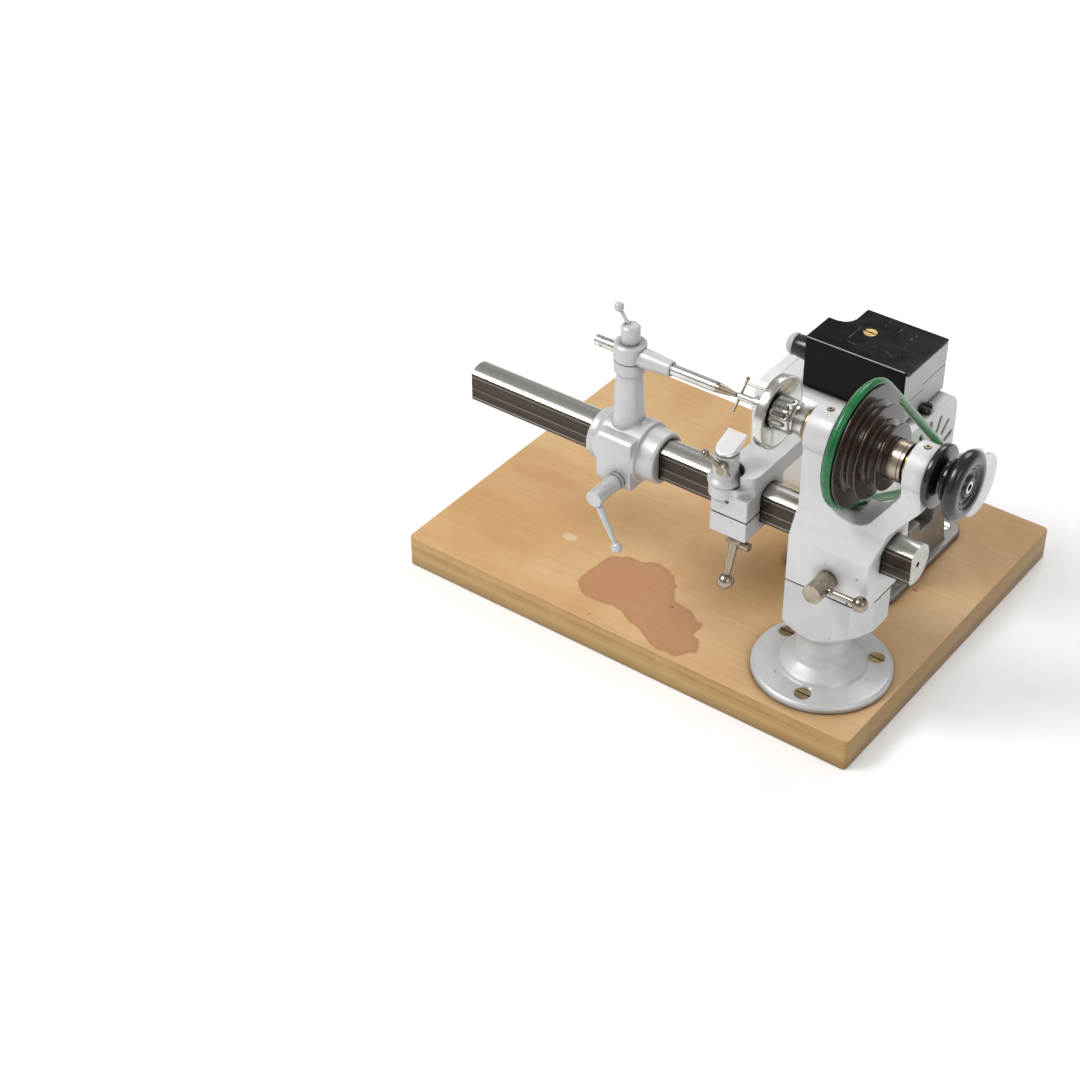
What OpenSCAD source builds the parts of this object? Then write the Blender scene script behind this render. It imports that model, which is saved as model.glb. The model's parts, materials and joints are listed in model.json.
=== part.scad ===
// Bench lathe for fine turning, on a varnished board with its own belt motor.
// Origin: centre of the board's underside. +X runs along the bed towards the handwheel,
// +Y away from the operator towards the motor, +Z up. Millimetres.

/* [Baseboard] */
// Length of the board along the bed
board_l = 300; // [290:1:340]
// Depth of the board from front to back
board_w = 232; // [225:1:260]
// Thickness of the board
board_t = 20.5; // [16:0.5:25]
// Radius of the board's upright corners
board_corner_r = 3; // [1:0.5:8]

/* [Bed bar] */
// Distance of the bed line in front of the board's centre line
bed_setback = 71.8; // [70:0.1:74]
// Height of the bed axis above the board
bed_rise = 95.1; // [92:0.1:100]
// Diameter of the bed bar
bed_d = 23; // [22:0.1:24]
// Distance of the bar's front flat from its axis
bed_flat = 7.5; // [7.3:0.1:8]
// Length of the bed bar
bed_l = 284.8; // [280:0.2:290]
// Left end of the bed bar along X
bed_x0 = -128.4; // [-132:0.2:-120]
// Diameter of the centre hole in each end of the bar
bed_centre_d = 3.2; // [2:0.1:5]
// Running gap between the bed bar and what slides on it
slide_gap = 0.08; // [0.05:0.01:0.1]

/* [Pillar foot] */
// Position of the pillar axis along X
pillar_x = 107; // [105:0.5:109]
// Diameter of the round foot flange
flange_d = 78.4; // [75:0.2:80]
// Thickness of the foot flange at its rim
flange_t = 4.8; // [4:0.1:6]
// Diameter of the raised ring round the column's foot
ring_d = 48; // [44:0.5:50]
// Diameter of the column
column_d = 29; // [26:0.2:31]
// Height above the board where the column flares into its head
flare_rise = 28.5; // [26:0.5:31]
// Circle on which the three foot screws lie
foot_pcd = 60; // [58:0.5:62]
// Diameter of the foot screws' heads
foot_screw_head_d = 9.6; // [8.5:0.1:10.5]
// Diameter of the foot screws' shanks
foot_screw_d = 4; // [3:0.1:5]
// Length of the foot screws
foot_screw_l = 18; // [14:0.5:20]

/* [Headstock] */
// Left face of the headstock along X
head_x = 91; // [90:0.2:92]
// Length of the headstock block along the bed
block_l = 48.2; // [47:0.2:49]
// Depth of the headstock block across the bed
block_w = 40.4; // [40:0.2:42]
// Distance from the bed axis down to the joint between headstock and pillar
joint_drop = 28; // [27.5:0.1:29]
// Height of the block's front shoulder edge above the bed axis
shoulder_rise = 2.1; // [1:0.1:4]
// Height of the spindle axis above the bed axis
centre_h = 58.9; // [58:0.1:60]
// Diameter of the two bearing bosses
boss_d = 28; // [27:0.2:30]
// Length of the front bearing boss
front_boss_l = 15; // [14:0.1:15.4]
// Length of the rear bearing boss
rear_boss_l = 12; // [11:0.1:14]
// Width of the yoke between the two bosses
yoke_w = 42; // [41.6:0.1:43]
// Thickness of the yoke's floor over the bed bar
yoke_floor_t = 7.2; // [7:0.1:8]
// Radius of the yoke's rounded floor
yoke_r = 15.5; // [15:0.1:16]
// Half width of the two arms across the bed
arm_half_w = 12.5; // [12:0.1:13]
// Diameter of the clamp boss on the headstock's face
head_boss_d = 11; // [10:0.1:12]
// Length of the clamp boss in front of the headstock's face
head_boss_l = 16.5; // [15:0.1:18]
// Length of the headstock clamp lever from the boss axis to the ball
head_lever_l = 24; // [22:0.1:25]
// Diameter of the ball on the headstock clamp lever
head_ball_d = 8.6; // [8:0.1:9.4]

/* [Spindle] */
// Diameter of the spindle's bearing journals
journal_d = 12; // [11:0.1:13]
// Outer diameter of the bronze bearing bushes
bush_d = 18; // [17:0.2:20]
// Radial running clearance of the bearings
bearing_gap = 0.05; // [0.03:0.01:0.08]
// Diameter of the bore through the spindle
spindle_bore_d = 6.8; // [6.4:0.1:7.2]
// Diameter of the face disc of the chuck
chuck_disc_d = 40.8; // [39:0.2:43]
// Thickness of the face disc at its rim
chuck_disc_t = 5.5; // [5:0.1:6.5]
// Depth of the hollow in the disc's right face
chuck_dish = 3.6; // [3:0.1:4]
// Diameter of the chuck's fluted hub
hub_d = 18.8; // [18:0.2:20]
// Length of the fluted hub
hub_l = 12.3; // [12:0.1:14]
// Number of flutes round the hub
flute_n = 12; // [10:1:14]
// Diameter of the arbor held in the chuck
arbor_d = 8.2; // [7.6:0.1:8.6]
// Diameter of the arbor's slim front part
arbor_tip_d = 4.2; // [3.8:0.1:5]
// Distance of the drive pin from the spindle axis
drive_pin_r = 7.7; // [7:0.1:8.4]
// Diameter of the drive pin
drive_pin_d = 1.2; // [1:0.1:1.6]
// Length of the cross bar through the arbor's end
cross_bar_l = 19.4; // [17:0.2:19.8]
// Diameter of the cross bar
cross_bar_d = 1.5; // [1.2:0.1:1.8]
// Diameter of the lock disc behind the rear bearing
lock_disc_d = 34.4; // [33:0.2:36]
// Diameter of the draw handwheel
handwheel_d = 38; // [36:0.2:39]
// Length of the draw handwheel
handwheel_l = 12.1; // [11.6:0.1:12.6]
// Outer diameter of the draw tube inside the spindle
draw_tube_d = 6.4; // [6:0.05:6.6]
// Bore of the draw tube
draw_bore_d = 4; // [3.4:0.1:4.4]

/* [Belt drive] */
// Diameter of the round belt
belt_d = 5; // [4.6:0.1:5.2]
// Radius of the belt's centre line on the spindle pulley
belt_track_r = 33; // [32.6:0.1:33.2]
// Radius of the belt's centre line on the motor pulley
motor_track_r = 7.6; // [7.4:0.1:8.2]
// Radial drop from one pulley step to the next
pulley_drop = 7.4; // [7:0.1:7.5]
// Distance from the front bearing boss to the belt's plane
belt_out = 10.75; // [10.4:0.05:11]
// Width of one pulley step
pulley_pitch = 7.7; // [7.6:0.05:7.8]
// Diameter of the spindle pulley's hub
pulley_hub_d = 22; // [20:0.2:23]
// Gap between the belt and its grooves
belt_gap = 0.15; // [0.12:0.01:0.25]

/* [Motor] */
// Distance of the motor shaft behind the board's centre line
motor_y = 38; // [37:0.2:40]
// Height of the motor shaft above the board
motor_rise = 72; // [71:0.1:74]
// Length of the motor housing with its end covers
motor_l = 97; // [96:0.2:98]
// Left end of the motor housing along X
motor_x0 = 6; // [5:0.2:7]
// Width of the motor housing
motor_w = 63; // [61:0.2:65]
// Height of the motor housing
motor_h = 67; // [65:0.2:69]
// Radius of the housing's long edges
motor_corner_r = 12; // [10:0.2:14]
// Wall of the motor housing
motor_wall = 2.5; // [2:0.1:3]
// Length of each end cover
end_cover_l = 8; // [7:0.1:9]
// Diameter of the motor shaft
motor_shaft_d = 6; // [5.4:0.1:6.2]
// Diameter of the armature
armature_d = 42; // [40:0.2:44]
// Radial air gap round the armature
air_gap = 0.6; // [0.4:0.05:1]
// Diameter of the motor's foot screws at the head
motor_screw_head_d = 8; // [7.4:0.1:9]
// Diameter of the motor's foot screws at the shank
motor_screw_d = 3.6; // [3:0.1:4.4]
// Length of the motor's foot screws
motor_screw_l = 15; // [12:0.5:18]
// Length of the control box along X
box_l = 65; // [62:0.1:65.2]
// Depth of the control box
box_w = 44.4; // [43:0.1:46]
// Height of the control box
box_h = 32.5; // [31:0.1:34]
// Height of the feet under the control box
box_foot_h = 0.6; // [0.4:0.1:2]
// Thickness of the control box cover
box_wall = 2; // [1.6:0.1:2.6]
// Side of the notch at the box's back left corner
box_notch = 13.6; // [10:0.1:15]

/* [Hand rest] */
// Position of the middle of the rest's shoe along X
rest_x = 54.8; // [54:0.1:56]
// Length of the rest's shoe along the bed
shoe_l = 22.6; // [22:0.1:23.4]
// Distance of the shoe's front face from the bed axis
shoe_front = 21.4; // [21:0.1:22]
// Distance of the shoe's back face from the bed axis
shoe_back = 14.6; // [14:0.1:15.4]
// Wall of the shoe under the bed bar
shoe_floor = 3.3; // [3:0.1:5]
// Height of the shoe's ledge above the bed bar
ledge_rise = 4.1; // [3.6:0.1:4.4]
// Height of the raised block above the ledge
rest_block_h = 6.8; // [6:0.1:7.4]
// Width of the arm behind the raised block
rest_arm_w = 8; // [7:0.1:9]
// Length of the arm behind the shoe's back face
rest_arm_l = 20; // [16:0.5:22]
// Diameter of the rest post
rest_post_d = 5; // [4.6:0.1:5.4]
// Diameter of the swivelling post holder's column
holder_d = 14; // [13.4:0.1:14.4]
// Diameter of the ring round the holder's foot
holder_ring_d = 19.2; // [18.6:0.1:19.6]
// Height of the post holder above the ledge
holder_h = 18.1; // [17.6:0.1:18.6]
// Length of the tool rest's edge
rest_edge_l = 11.7; // [11:0.1:12.6]
// Diameter of the rest's clamp bolt
rest_bolt_d = 5.2; // [4.6:0.1:5.6]
// Diameter of the ball on the rest's clamp lever
rest_ball_d = 9.4; // [9:0.1:10]

/* [Tailstock] */
// Position of the tailstock column along X
tail_x = -24.8; // [-26:0.2:-24]
// Diameter of the tailstock sleeve
sleeve_d = 35; // [34:0.2:36]
// Distance from the column to the sleeve's right end
sleeve_right = 26; // [25:0.2:27]
// Distance from the column to the sleeve's left end
sleeve_left = 18.7; // [18:0.1:20]
// Distance of the block's front face from the bed axis
tail_face = 18; // [17.6:0.1:18.4]
// Diameter of the column at its top
tail_column_d = 14.6; // [14:0.2:15.4]
// Diameter of the column at its foot
tail_root_d = 18.4; // [17.6:0.2:19.4]
// Diameter of the swivelling head
tail_head_d = 18.2; // [17.6:0.2:18.6]
// Height of the swivelling head
tail_head_h = 10.6; // [10:0.2:11]
// Height of the column's top joint below the spindle axis
tail_joint_drop = 3.4; // [3.2:0.1:3.6]
// Diameter of the sliding runner
runner_d = 6.2; // [5.8:0.1:6.4]
// Diameter of the runner's barrel next to the head
barrel_d = 11; // [10:0.2:12]
// Distance from the column to the barrel's end
barrel_reach = 27.3; // [26:0.1:28]
// Distance from the column to the runner's point
point_reach = 68.4; // [67:0.1:68.6]
// Length of the tailstock's clamp lever
tail_lever_l = 31; // [28:0.2:32]

/* [Hidden] */
$fn = 72;

// Small length by which a cut runs past the face that it opens
past = 1;
// Side of a block that is larger than anything it cuts
wide = 200;
// Gap between flat faces of pieces that move past each other
face_gap = 0.3;
// Radial gap between a piece and the hole it is fixed in
seat_gap = 0.05;

bed_y = -bed_setback;
bed_r = bed_d / 2;
bed_z = board_t + bed_rise;
bed_x1 = bed_x0 + bed_l;
spindle_z = bed_z + centre_h;
column_r = column_d / 2;

joint_z = bed_z - joint_drop;
joint_gap = 0.8;
joint_pad_r = 11;
stud_d = 6;
stud_reach = 15;
yoke_x0 = head_x + front_boss_l;
yoke_x1 = yoke_x0 + yoke_w;
head_x1 = yoke_x1 + rear_boss_l;
block_x1 = head_x + block_l;
block_front = bed_y - block_w / 2;
yoke_floor_z = bed_z + bed_r + yoke_floor_t;
head_clamp_x = head_x + 25.5;
head_clamp_z = bed_z - 15.6;
head_shaft_r = 3.6;
head_shaft_in = 12;
head_shaft_gap = 0.08;
head_lever_out = 8;

journal_r = journal_d / 2;
nose_x = head_x - 3;
neck_l = 8.8;
hub_x1 = nose_x - neck_l;
hub_x0 = hub_x1 - hub_l;
disc_x1 = hub_x0 + chuck_dish;
disc_x0 = disc_x1 - chuck_disc_t;
arbor_step_x = disc_x0 - 11;
arbor_x0 = disc_x0 - 21;
cross_bar_x = arbor_x0 + 0.9;
cross_bar_tilt = 47;
cross_bar_up = 0.9;
front_ring_r = 11.2;
rear_ring_r = pulley_hub_d / 2 - 1.5;
dust_ring_t = 2.6;
lock_disc_t = 3.6;
lock_x0 = head_x1 + face_gap;
lock_neck_l = 3.3;
wheel_x0 = lock_x0 + lock_disc_t + lock_neck_l + face_gap;
wheel_x1 = wheel_x0 + handwheel_l;

pulley_steps = 3;
belt_r = belt_d / 2;
groove_foot = 0.68 * belt_r;
groove_mouth = 1.16 * belt_r;
groove_floor = belt_r + belt_gap;
rim_flat = 0.4;
belt_x = yoke_x0 + belt_out;
pulley_x0 = belt_x - groove_mouth - rim_flat;
pulley_bore_r = journal_r + seat_gap;
steps_x1 = belt_x + (pulley_steps - 0.5) * pulley_pitch;
pulley_x1 = yoke_x1 - dust_ring_t + 0.2;

motor_z = board_t + motor_rise;
motor_x1 = motor_x0 + motor_l;
shaft_r = motor_shaft_d / 2;
housing_top = motor_z + motor_h / 2;
housing_bottom = motor_z - motor_h / 2;
bearing_r = 9;
bearing_l = 5;
cover_floor = 2;
cover_boss_r = 12;
cover_boss_l = 3.5;
left_cover_l = end_cover_l;
right_cover_l = end_cover_l + 6;
armature_l = 46;
armature_x0 = motor_x0 + 32;
commutator_l = 6.4;
commutator_x0 = motor_x1 - 9.3;
commutator_r = 10;
brush_x = motor_x1 - 4.4;
brush_r = 1.4;
holder_r = 2.3;
brush_cap_r = 3.4;
fan_x0 = motor_x0 + left_cover_l + 3;
fan_t = 8;
fan_r = 22;
motor_pulley_rise = 5.7;
motor_pulley_x1 = steps_x1 + 0.6;
foot_l = 21;
foot_xs = [motor_x0 + 44, motor_x1 - 2.5];
foot_t = 4;
foot_half = 47;
foot_screw_y = 38;
foot_web_t = 14;
box_x0 = motor_x0 + 23.8;
box_x1 = box_x0 + box_l;
box_y0 = motor_y - 18.4;
box_y1 = box_y0 + box_w;
box_z0 = housing_top + box_foot_h;
box_z1 = box_z0 + box_h;
box_seam_drop = 16;
panel_t = 1.6;

shoe_x0 = rest_x - shoe_l / 2;
shoe_x1 = rest_x + shoe_l / 2;
shoe_y0 = bed_y - shoe_front;
shoe_y1 = bed_y + shoe_back;
shoe_bottom = bed_z - bed_r - shoe_floor;
shoe_split = bed_z - 2.4;
shoe_split_gap = 0.8;
corner_z = bed_z + bed_r - 0.3;
ledge_z = bed_z + bed_r + ledge_rise;
rest_top = ledge_z + rest_block_h;
rest_bolt_r = rest_bolt_d / 2;
rest_bolt_x = rest_x + 0.8;
rest_bolt_y = bed_y - bed_flat - slide_gap - 3.6 - rest_bolt_r;
rest_post_r = rest_post_d / 2;
rest_post_x = rest_x - 6.6;
rest_post_y = shoe_y0 + 5.8;
post_column_r = holder_d / 2;
ring_r = holder_ring_d / 2;
holder_z = ledge_z + face_gap;
holder_top = ledge_z + holder_h;
holder_pin_r = 3.4;
holder_pin_l = 6;
rest_bolt_top = holder_z - holder_pin_l - 0.8;
socket_floor = holder_z + 3.5;
blade_z = holder_top + face_gap;
blade_reach = 10.1;
blade_rise = 7.4;
blade_lip = 1.6;
post_clamp_z = holder_top - 4.2;
post_clamp_turn = 20;
post_clamp_hub_l = 4.4;
post_clamp_lever_l = 12.5;
post_clamp_lever_turn = -48;
post_ball_d = 4.6;
rest_hub_r = 5.6;
rest_hub_l = 8.2;

sleeve_r = sleeve_d / 2;
tail_block_x0 = tail_x - 8.7;
tail_block_l = 22.5;
tail_block_y = bed_y - tail_face;
tail_block_z0 = bed_z - 14.6;
tail_block_z1 = bed_z + 13.9;
tail_joint_z = spindle_z - tail_joint_drop;
collar_h = 7.4;
tail_pin_r = 3.4;
tail_pin_h = 4;
runner_r = runner_d / 2;
runner_gap = 0.06;
cap_r = 5.3;
cap_h = 10;
tail_head_top = tail_joint_z + tail_head_h;
tail_clamp_x = tail_x + 5.5;
tail_clamp_z = bed_z - 12.6;
tail_clamp_r = 2.8;
tail_clamp_in = 8.4;
tail_clamp_out = 22;
tail_lever_out = 20;
tail_ball_d = 6.4;
tail_lever_turn = 62;
runner_back = 22.4;

// Turned shape about the X axis from [x, radius] pairs
module turned_x(profile) {
    rotate([0, 90, 0])
        rotate_extrude()
            polygon([for (p = profile) [p[1], p[0]]]);
}

// Turned shape about the Z axis from [z, radius] pairs
module turned_z(profile) {
    rotate_extrude()
        polygon([for (p = profile) [p[1], p[0]]]);
}

// Round bar along X between two stations
module bar_x(x0, x1, r) {
    translate([x0, 0, 0])
        rotate([0, 90, 0])
            cylinder(r = r, h = x1 - x0);
}

// Round bar along Y between two stations
module bar_y(y0, y1, r) {
    translate([0, y0, 0])
        rotate([-90, 0, 0])
            cylinder(r = r, h = y1 - y0);
}

// Box from its low corner to its high corner
module block(low, high) {
    translate(low)
        cube(high - low);
}

// Outline drawn in X and Z, extruded along Y
module slab_y(points, y0, y1) {
    translate([0, y1, 0])
        rotate([90, 0, 0])
            linear_extrude(y1 - y0)
                polygon(points);
}

// Outline drawn in Y and Z, extruded along X
module slab_x(points, x0, x1) {
    translate([x0, 0, 0])
        rotate([90, 0, 90])
            linear_extrude(x1 - x0)
                polygon(points);
}

// Points of a rectangle with round corners, centred on the origin
function round_rect(w, h, r, steps = 6) = [
    for (corner = [0 : 3], i = [0 : steps])
        let (a = 90 * corner + 90 * i / steps,
             sx = (corner == 0 || corner == 3) ? 1 : -1,
             sy = corner < 2 ? 1 : -1)
        [sx * (w / 2 - r) + r * cos(a), sy * (h / 2 - r) + r * sin(a)]
];

module at_bed() {
    translate([0, bed_y, bed_z])
        children();
}

module at_spindle() {
    translate([0, bed_y, spindle_z])
        children();
}

module at_motor() {
    translate([0, motor_y, motor_z])
        children();
}

module at_foot_screws() {
    for (a = [41, 161, 281])
        translate([pillar_x + foot_pcd / 2 * cos(a), bed_y + foot_pcd / 2 * sin(a), 0])
            children();
}

module at_motor_screws() {
    for (x = foot_xs, s = [-1, 1])
        translate([x, motor_y + s * foot_screw_y, 0])
            children();
}

// Space that the bed bar fills, larger all round by gap
module bed_section(gap, x0, x1) {
    at_bed()
        difference() {
            bar_x(x0, x1, bed_r + gap);
            block([x0 - past, -wide, -wide], [x1 + past, -bed_flat - gap, wide]);
        }
}

// Countersunk screw standing on its point, with a straight slot, head's top at z
module slotted_screw(z, head_d, shank_d, length, sink = 2.4) {
    slot_w = 1;
    difference() {
        union() {
            translate([0, 0, z - sink])
                cylinder(r1 = shank_d / 2, r2 = head_d / 2, h = sink);
            translate([0, 0, z - length + shank_d])
                cylinder(d = shank_d, h = length - sink - shank_d + 0.01);
            translate([0, 0, z - length])
                cylinder(r1 = 0.3, r2 = shank_d / 2, h = shank_d);
        }
        block([-head_d, -slot_w / 2, z - 1.1], [head_d, slot_w / 2, z + past]);
    }
}

// Hole that a slotted screw is sunk in, down to its point
module screw_hole(z, head_d, shank_d, length, sink = 2.4) {
    translate([0, 0, z - sink])
        cylinder(r1 = shank_d / 2 + seat_gap, r2 = head_d / 2 + seat_gap, h = sink + 0.01);
    translate([0, 0, z])
        cylinder(r = head_d / 2 + seat_gap, h = past);
    translate([0, 0, z - length - 0.5])
        cylinder(r = shank_d / 2 + seat_gap, h = length);
}

// Board and pillar

module base_board() {
    color("burlywood")
        difference() {
            linear_extrude(board_t)
                polygon(round_rect(board_l, board_w, board_corner_r));
            at_foot_screws()
                translate([0, 0, board_t + flange_t - foot_screw_l - 0.5])
                    cylinder(r = foot_screw_d / 2 + seat_gap, h = foot_screw_l);
            at_motor_screws()
                screw_hole(board_t + foot_t, motor_screw_head_d, motor_screw_d, motor_screw_l);
        }
}

module foot_pillar() {
    flare_z = board_t + flare_rise;
    head_r = column_r + joint_z - flare_z;
    rim = board_t + flange_t;
    color("gainsboro")
        difference() {
            union() {
                translate([pillar_x, bed_y, 0])
                    turned_z([
                        [board_t, 0], [board_t, flange_d / 2], [rim - 1.5, flange_d / 2],
                        [rim, flange_d / 2 - 1.6], [rim + 0.8, ring_d / 2 + 1],
                        [rim + 3, ring_d / 2 - 0.6], [rim + 5, ring_d / 2 - 4],
                        [rim + 7.2, column_r + 2.2], [rim + 11, column_r + 0.3],
                        [flare_z, column_r], [flare_z + 1, 0]
                    ]);
                intersection() {
                    translate([0, 0, flare_z])
                        linear_extrude(joint_z - flare_z)
                            polygon([
                                [head_x, block_front], [block_x1 - 7.8, block_front],
                                [block_x1, block_front + 12], [block_x1, bed_y + 8],
                                [block_x1 - 9, bed_y + block_w / 2 - 2],
                                [head_x + 6, bed_y + block_w / 2 - 2], [head_x, bed_y + 12]
                            ]);
                    translate([pillar_x, bed_y, flare_z])
                        cylinder(r1 = column_r, r2 = head_r, h = joint_z - flare_z);
                }
                translate([pillar_x, bed_y, joint_z - past])
                    cylinder(r = joint_pad_r, h = joint_gap + past);
            }
            at_foot_screws()
                screw_hole(rim, foot_screw_head_d, foot_screw_d, foot_screw_l);
            translate([pillar_x, bed_y, joint_z - stud_reach - seat_gap])
                cylinder(r = stud_d / 2 + seat_gap, h = stud_reach + joint_gap + past);
        }
}

module foot_screws() {
    color("saddlebrown")
        at_foot_screws()
            slotted_screw(board_t + flange_t, foot_screw_head_d, foot_screw_d, foot_screw_l);
}

module pillar_stud() {
    color("silver")
        translate([pillar_x, bed_y, joint_z - stud_reach])
            cylinder(d = stud_d, h = stud_reach + joint_gap + stud_reach - 7);
}

module bed_bar() {
    centre_r = bed_centre_d / 2;
    color("dimgray")
        difference() {
            bed_section(0, bed_x0, bed_x1);
            at_bed() {
                bar_x(bed_x1 - 6, bed_x1 + past, centre_r);
                bar_x(bed_x0 - past, bed_x0 + 6, centre_r);
            }
        }
}

// Headstock

// Arms and block as seen along the bed
function head_side() = [
    [-block_w / 2, joint_gap - joint_drop], [block_w / 2, joint_gap - joint_drop],
    [block_w / 2, shoulder_rise], [arm_half_w, 17.5], [arm_half_w, centre_h - boss_d / 5],
    [-arm_half_w, centre_h - boss_d / 5], [-arm_half_w, 17.5], [-block_w / 2, shoulder_rise]
];

// Arms and block as seen from the front
function head_front() = [
    [head_x, joint_z + joint_gap], [block_x1, joint_z + joint_gap],
    [block_x1, bed_z + shoulder_rise], [block_x1 + 4.2, bed_z + 19.4],
    [block_x1 + 12.3, bed_z + 30.4], [head_x1, bed_z + 41.4],
    [head_x1, spindle_z], [head_x, spindle_z]
];

module headstock_frame() {
    yoke_mid = yoke_x0 + yoke_r;
    yoke_axis_z = yoke_floor_z + yoke_r;
    belt_slope = belt_angle() + belt_spread();
    color("whitesmoke")
        difference() {
            union() {
                intersection() {
                    slab_y(head_front(), bed_y - block_w, bed_y + block_w);
                    at_bed()
                        slab_x(head_side(), head_x, head_x1);
                }
                at_spindle() {
                    bar_x(head_x, yoke_x0, boss_d / 2);
                    bar_x(yoke_x1, head_x1, boss_d / 2);
                }
            }
            // Yoke between the arms
            translate([yoke_mid, 0, yoke_axis_z])
                bar_y(bed_y - block_w, bed_y + block_w, yoke_r);
            slab_y([
                [yoke_x0, yoke_axis_z], [yoke_x0, spindle_z + wide], [yoke_x1, spindle_z + wide],
                [yoke_x1, spindle_z - 12.5], [yoke_mid + yoke_r * cos(30), yoke_axis_z - yoke_r / 2]
            ], bed_y - block_w, bed_y + block_w);
            // Channel that the lower run of the belt leaves through
            at_spindle()
                rotate([belt_slope, 0, 0])
                    block([belt_x - belt_r - 1.2, 0, -belt_track_r - belt_r - 1.2],
                          [belt_x + belt_r + 1.2, wide, 0]);
            bed_section(seat_gap, head_x - past, head_x1);
            at_spindle()
                bar_x(head_x - past, head_x1 + past, bush_d / 2 + seat_gap);
            translate([head_clamp_x, 0, head_clamp_z])
                bar_y(block_front - past, block_front + head_shaft_in + 0.3,
                      head_shaft_r + head_shaft_gap);
            translate([pillar_x, bed_y, joint_z])
                cylinder(r = stud_d / 2 + seat_gap, h = stud_reach - 6);
            for (x = [head_x + front_boss_l / 2, yoke_x1 + rear_boss_l / 2])
                translate([x, bed_y, spindle_z + boss_d / 2 - 3.2])
                    cylinder(r = 1.6 + seat_gap, h = 5);
        }
}

module bearing_bush(x0, x1) {
    color("peru")
        at_spindle()
            difference() {
                bar_x(x0, x1, bush_d / 2);
                bar_x(x0 - past, x1 + past, journal_r + bearing_gap);
            }
}

module front_bush() {
    bearing_bush(head_x, yoke_x0);
}

module rear_bush() {
    bearing_bush(yoke_x1, head_x1);
}

module oil_cups() {
    color("goldenrod")
        for (x = [head_x + front_boss_l / 2, yoke_x1 + rear_boss_l / 2])
            translate([x, bed_y, spindle_z + boss_d / 2 - 3])
                difference() {
                    cylinder(r = 1.6, h = 3.3);
                    translate([0, 0, 1.5])
                        cylinder(r = 0.8, h = 3);
                }
}

module head_clamp_shaft() {
    face = block_front;
    color("dimgray")
        translate([head_clamp_x, 0, head_clamp_z])
            difference() {
                union() {
                    bar_y(face - head_boss_l, face - face_gap, head_boss_d / 2);
                    bar_y(face - face_gap - 0.01, face + head_shaft_in, head_shaft_r);
                }
                translate([0, face - head_lever_out, 0])
                    bar_x(-head_boss_d / 4, head_boss_d, 1.9 + seat_gap);
            }
}

module head_clamp_lever() {
    color("dimgray")
        translate([head_clamp_x, block_front - head_lever_out, head_clamp_z]) {
            turned_x([
                [0, 0], [0, 1.9], [head_boss_d / 2 + 1, 1.9], [head_boss_d / 2 + 3, 1.5],
                [head_lever_l, 1.9], [head_lever_l, 0]
            ]);
            translate([head_lever_l, 0, 0])
                sphere(d = head_ball_d);
        }
}

// Spindle, chuck and draw tube

module spindle() {
    color("silver")
        at_spindle()
            difference() {
                turned_x([
                    [hub_x1 - 6, 0], [hub_x1 - 6, journal_r - 0.6], [hub_x1, journal_r - 0.6],
                    [hub_x1, journal_r + 1.4], [hub_x1 + 1.2, journal_r + 1.2],
                    [nose_x - 1.4, journal_r + 2.8], [nose_x, journal_r + 3.8], [nose_x, journal_r],
                    [lock_x0 - face_gap, journal_r], [lock_x0, journal_r - 0.8],
                    [lock_x0 + lock_disc_t, journal_r - 0.8], [lock_x0 + lock_disc_t, 0]
                ]);
                bar_x(hub_x1 - 7, lock_x0 + lock_disc_t + past, spindle_bore_d / 2);
            }
}

// Radius of the belt's centre line on one pulley step
function step_track(i) = belt_track_r - i * pulley_drop;

// Plane in which the belt would run on one pulley step
function step_x(i) = belt_x + i * pulley_pitch;

// Rim and groove of one pulley step of the given track radius, from left to right
function step_profile(i, track) =
    let (x = step_x(i))
    [
        [i == 0 ? pulley_x0 : x - pulley_pitch / 2, track],
        [x - groove_mouth, track],
        [x - groove_foot, track - groove_floor],
        [x + groove_foot, track - groove_floor],
        [x + groove_mouth, track],
        [x + pulley_pitch / 2, track]
    ];

module cone_pulley() {
    dish = 3;
    color("saddlebrown")
        at_spindle()
            difference() {
                turned_x(concat(
                    [[pulley_x0, 0], [pulley_x0, pulley_hub_d / 2], [pulley_x0 + dish, pulley_hub_d / 2 + 2],
                     [pulley_x0 + dish, belt_track_r - groove_floor - 4],
                     [pulley_x0, belt_track_r - groove_floor - 2]],
                    [for (i = [0 : pulley_steps - 1]) each step_profile(i, step_track(i))],
                    [[steps_x1, pulley_hub_d / 2], [pulley_x1 - 0.6, pulley_hub_d / 2],
                     [pulley_x1, pulley_hub_d / 2 - 0.6], [pulley_x1, 0]]
                ));
                bar_x(pulley_x0 - past, pulley_x1 + past, pulley_bore_r);
                grub_axis()
                    cylinder(r = 1.5 + seat_gap, h = pulley_hub_d);
            }
}

// Axis of the grub screw in the pulley's hub, starting at the spindle's skin
module grub_axis() {
    translate([pulley_x1 - 5.4, 0, 0])
        rotate([14, 0, 0])
            translate([0, 0, pulley_bore_r])
                children();
}

module pulley_grub_screw() {
    length = pulley_hub_d / 2 - pulley_bore_r - 1;
    color("black")
        at_spindle()
            grub_axis()
                difference() {
                    translate([0, 0, 0.05])
                        cylinder(r = 1.5, h = length);
                    translate([-3, -0.35, length - 0.9])
                        cube([6, 0.7, 2]);
                }
}

module front_dust_ring() {
    color("goldenrod")
        at_spindle()
            difference() {
                turned_x([
                    [nose_x + 0.05, 0], [nose_x + 0.05, front_ring_r - 1],
                    [nose_x + 1, front_ring_r], [nose_x + dust_ring_t, front_ring_r],
                    [nose_x + dust_ring_t, 0]
                ]);
                bar_x(nose_x - past, nose_x + dust_ring_t + past, journal_r + seat_gap);
            }
}

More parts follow.
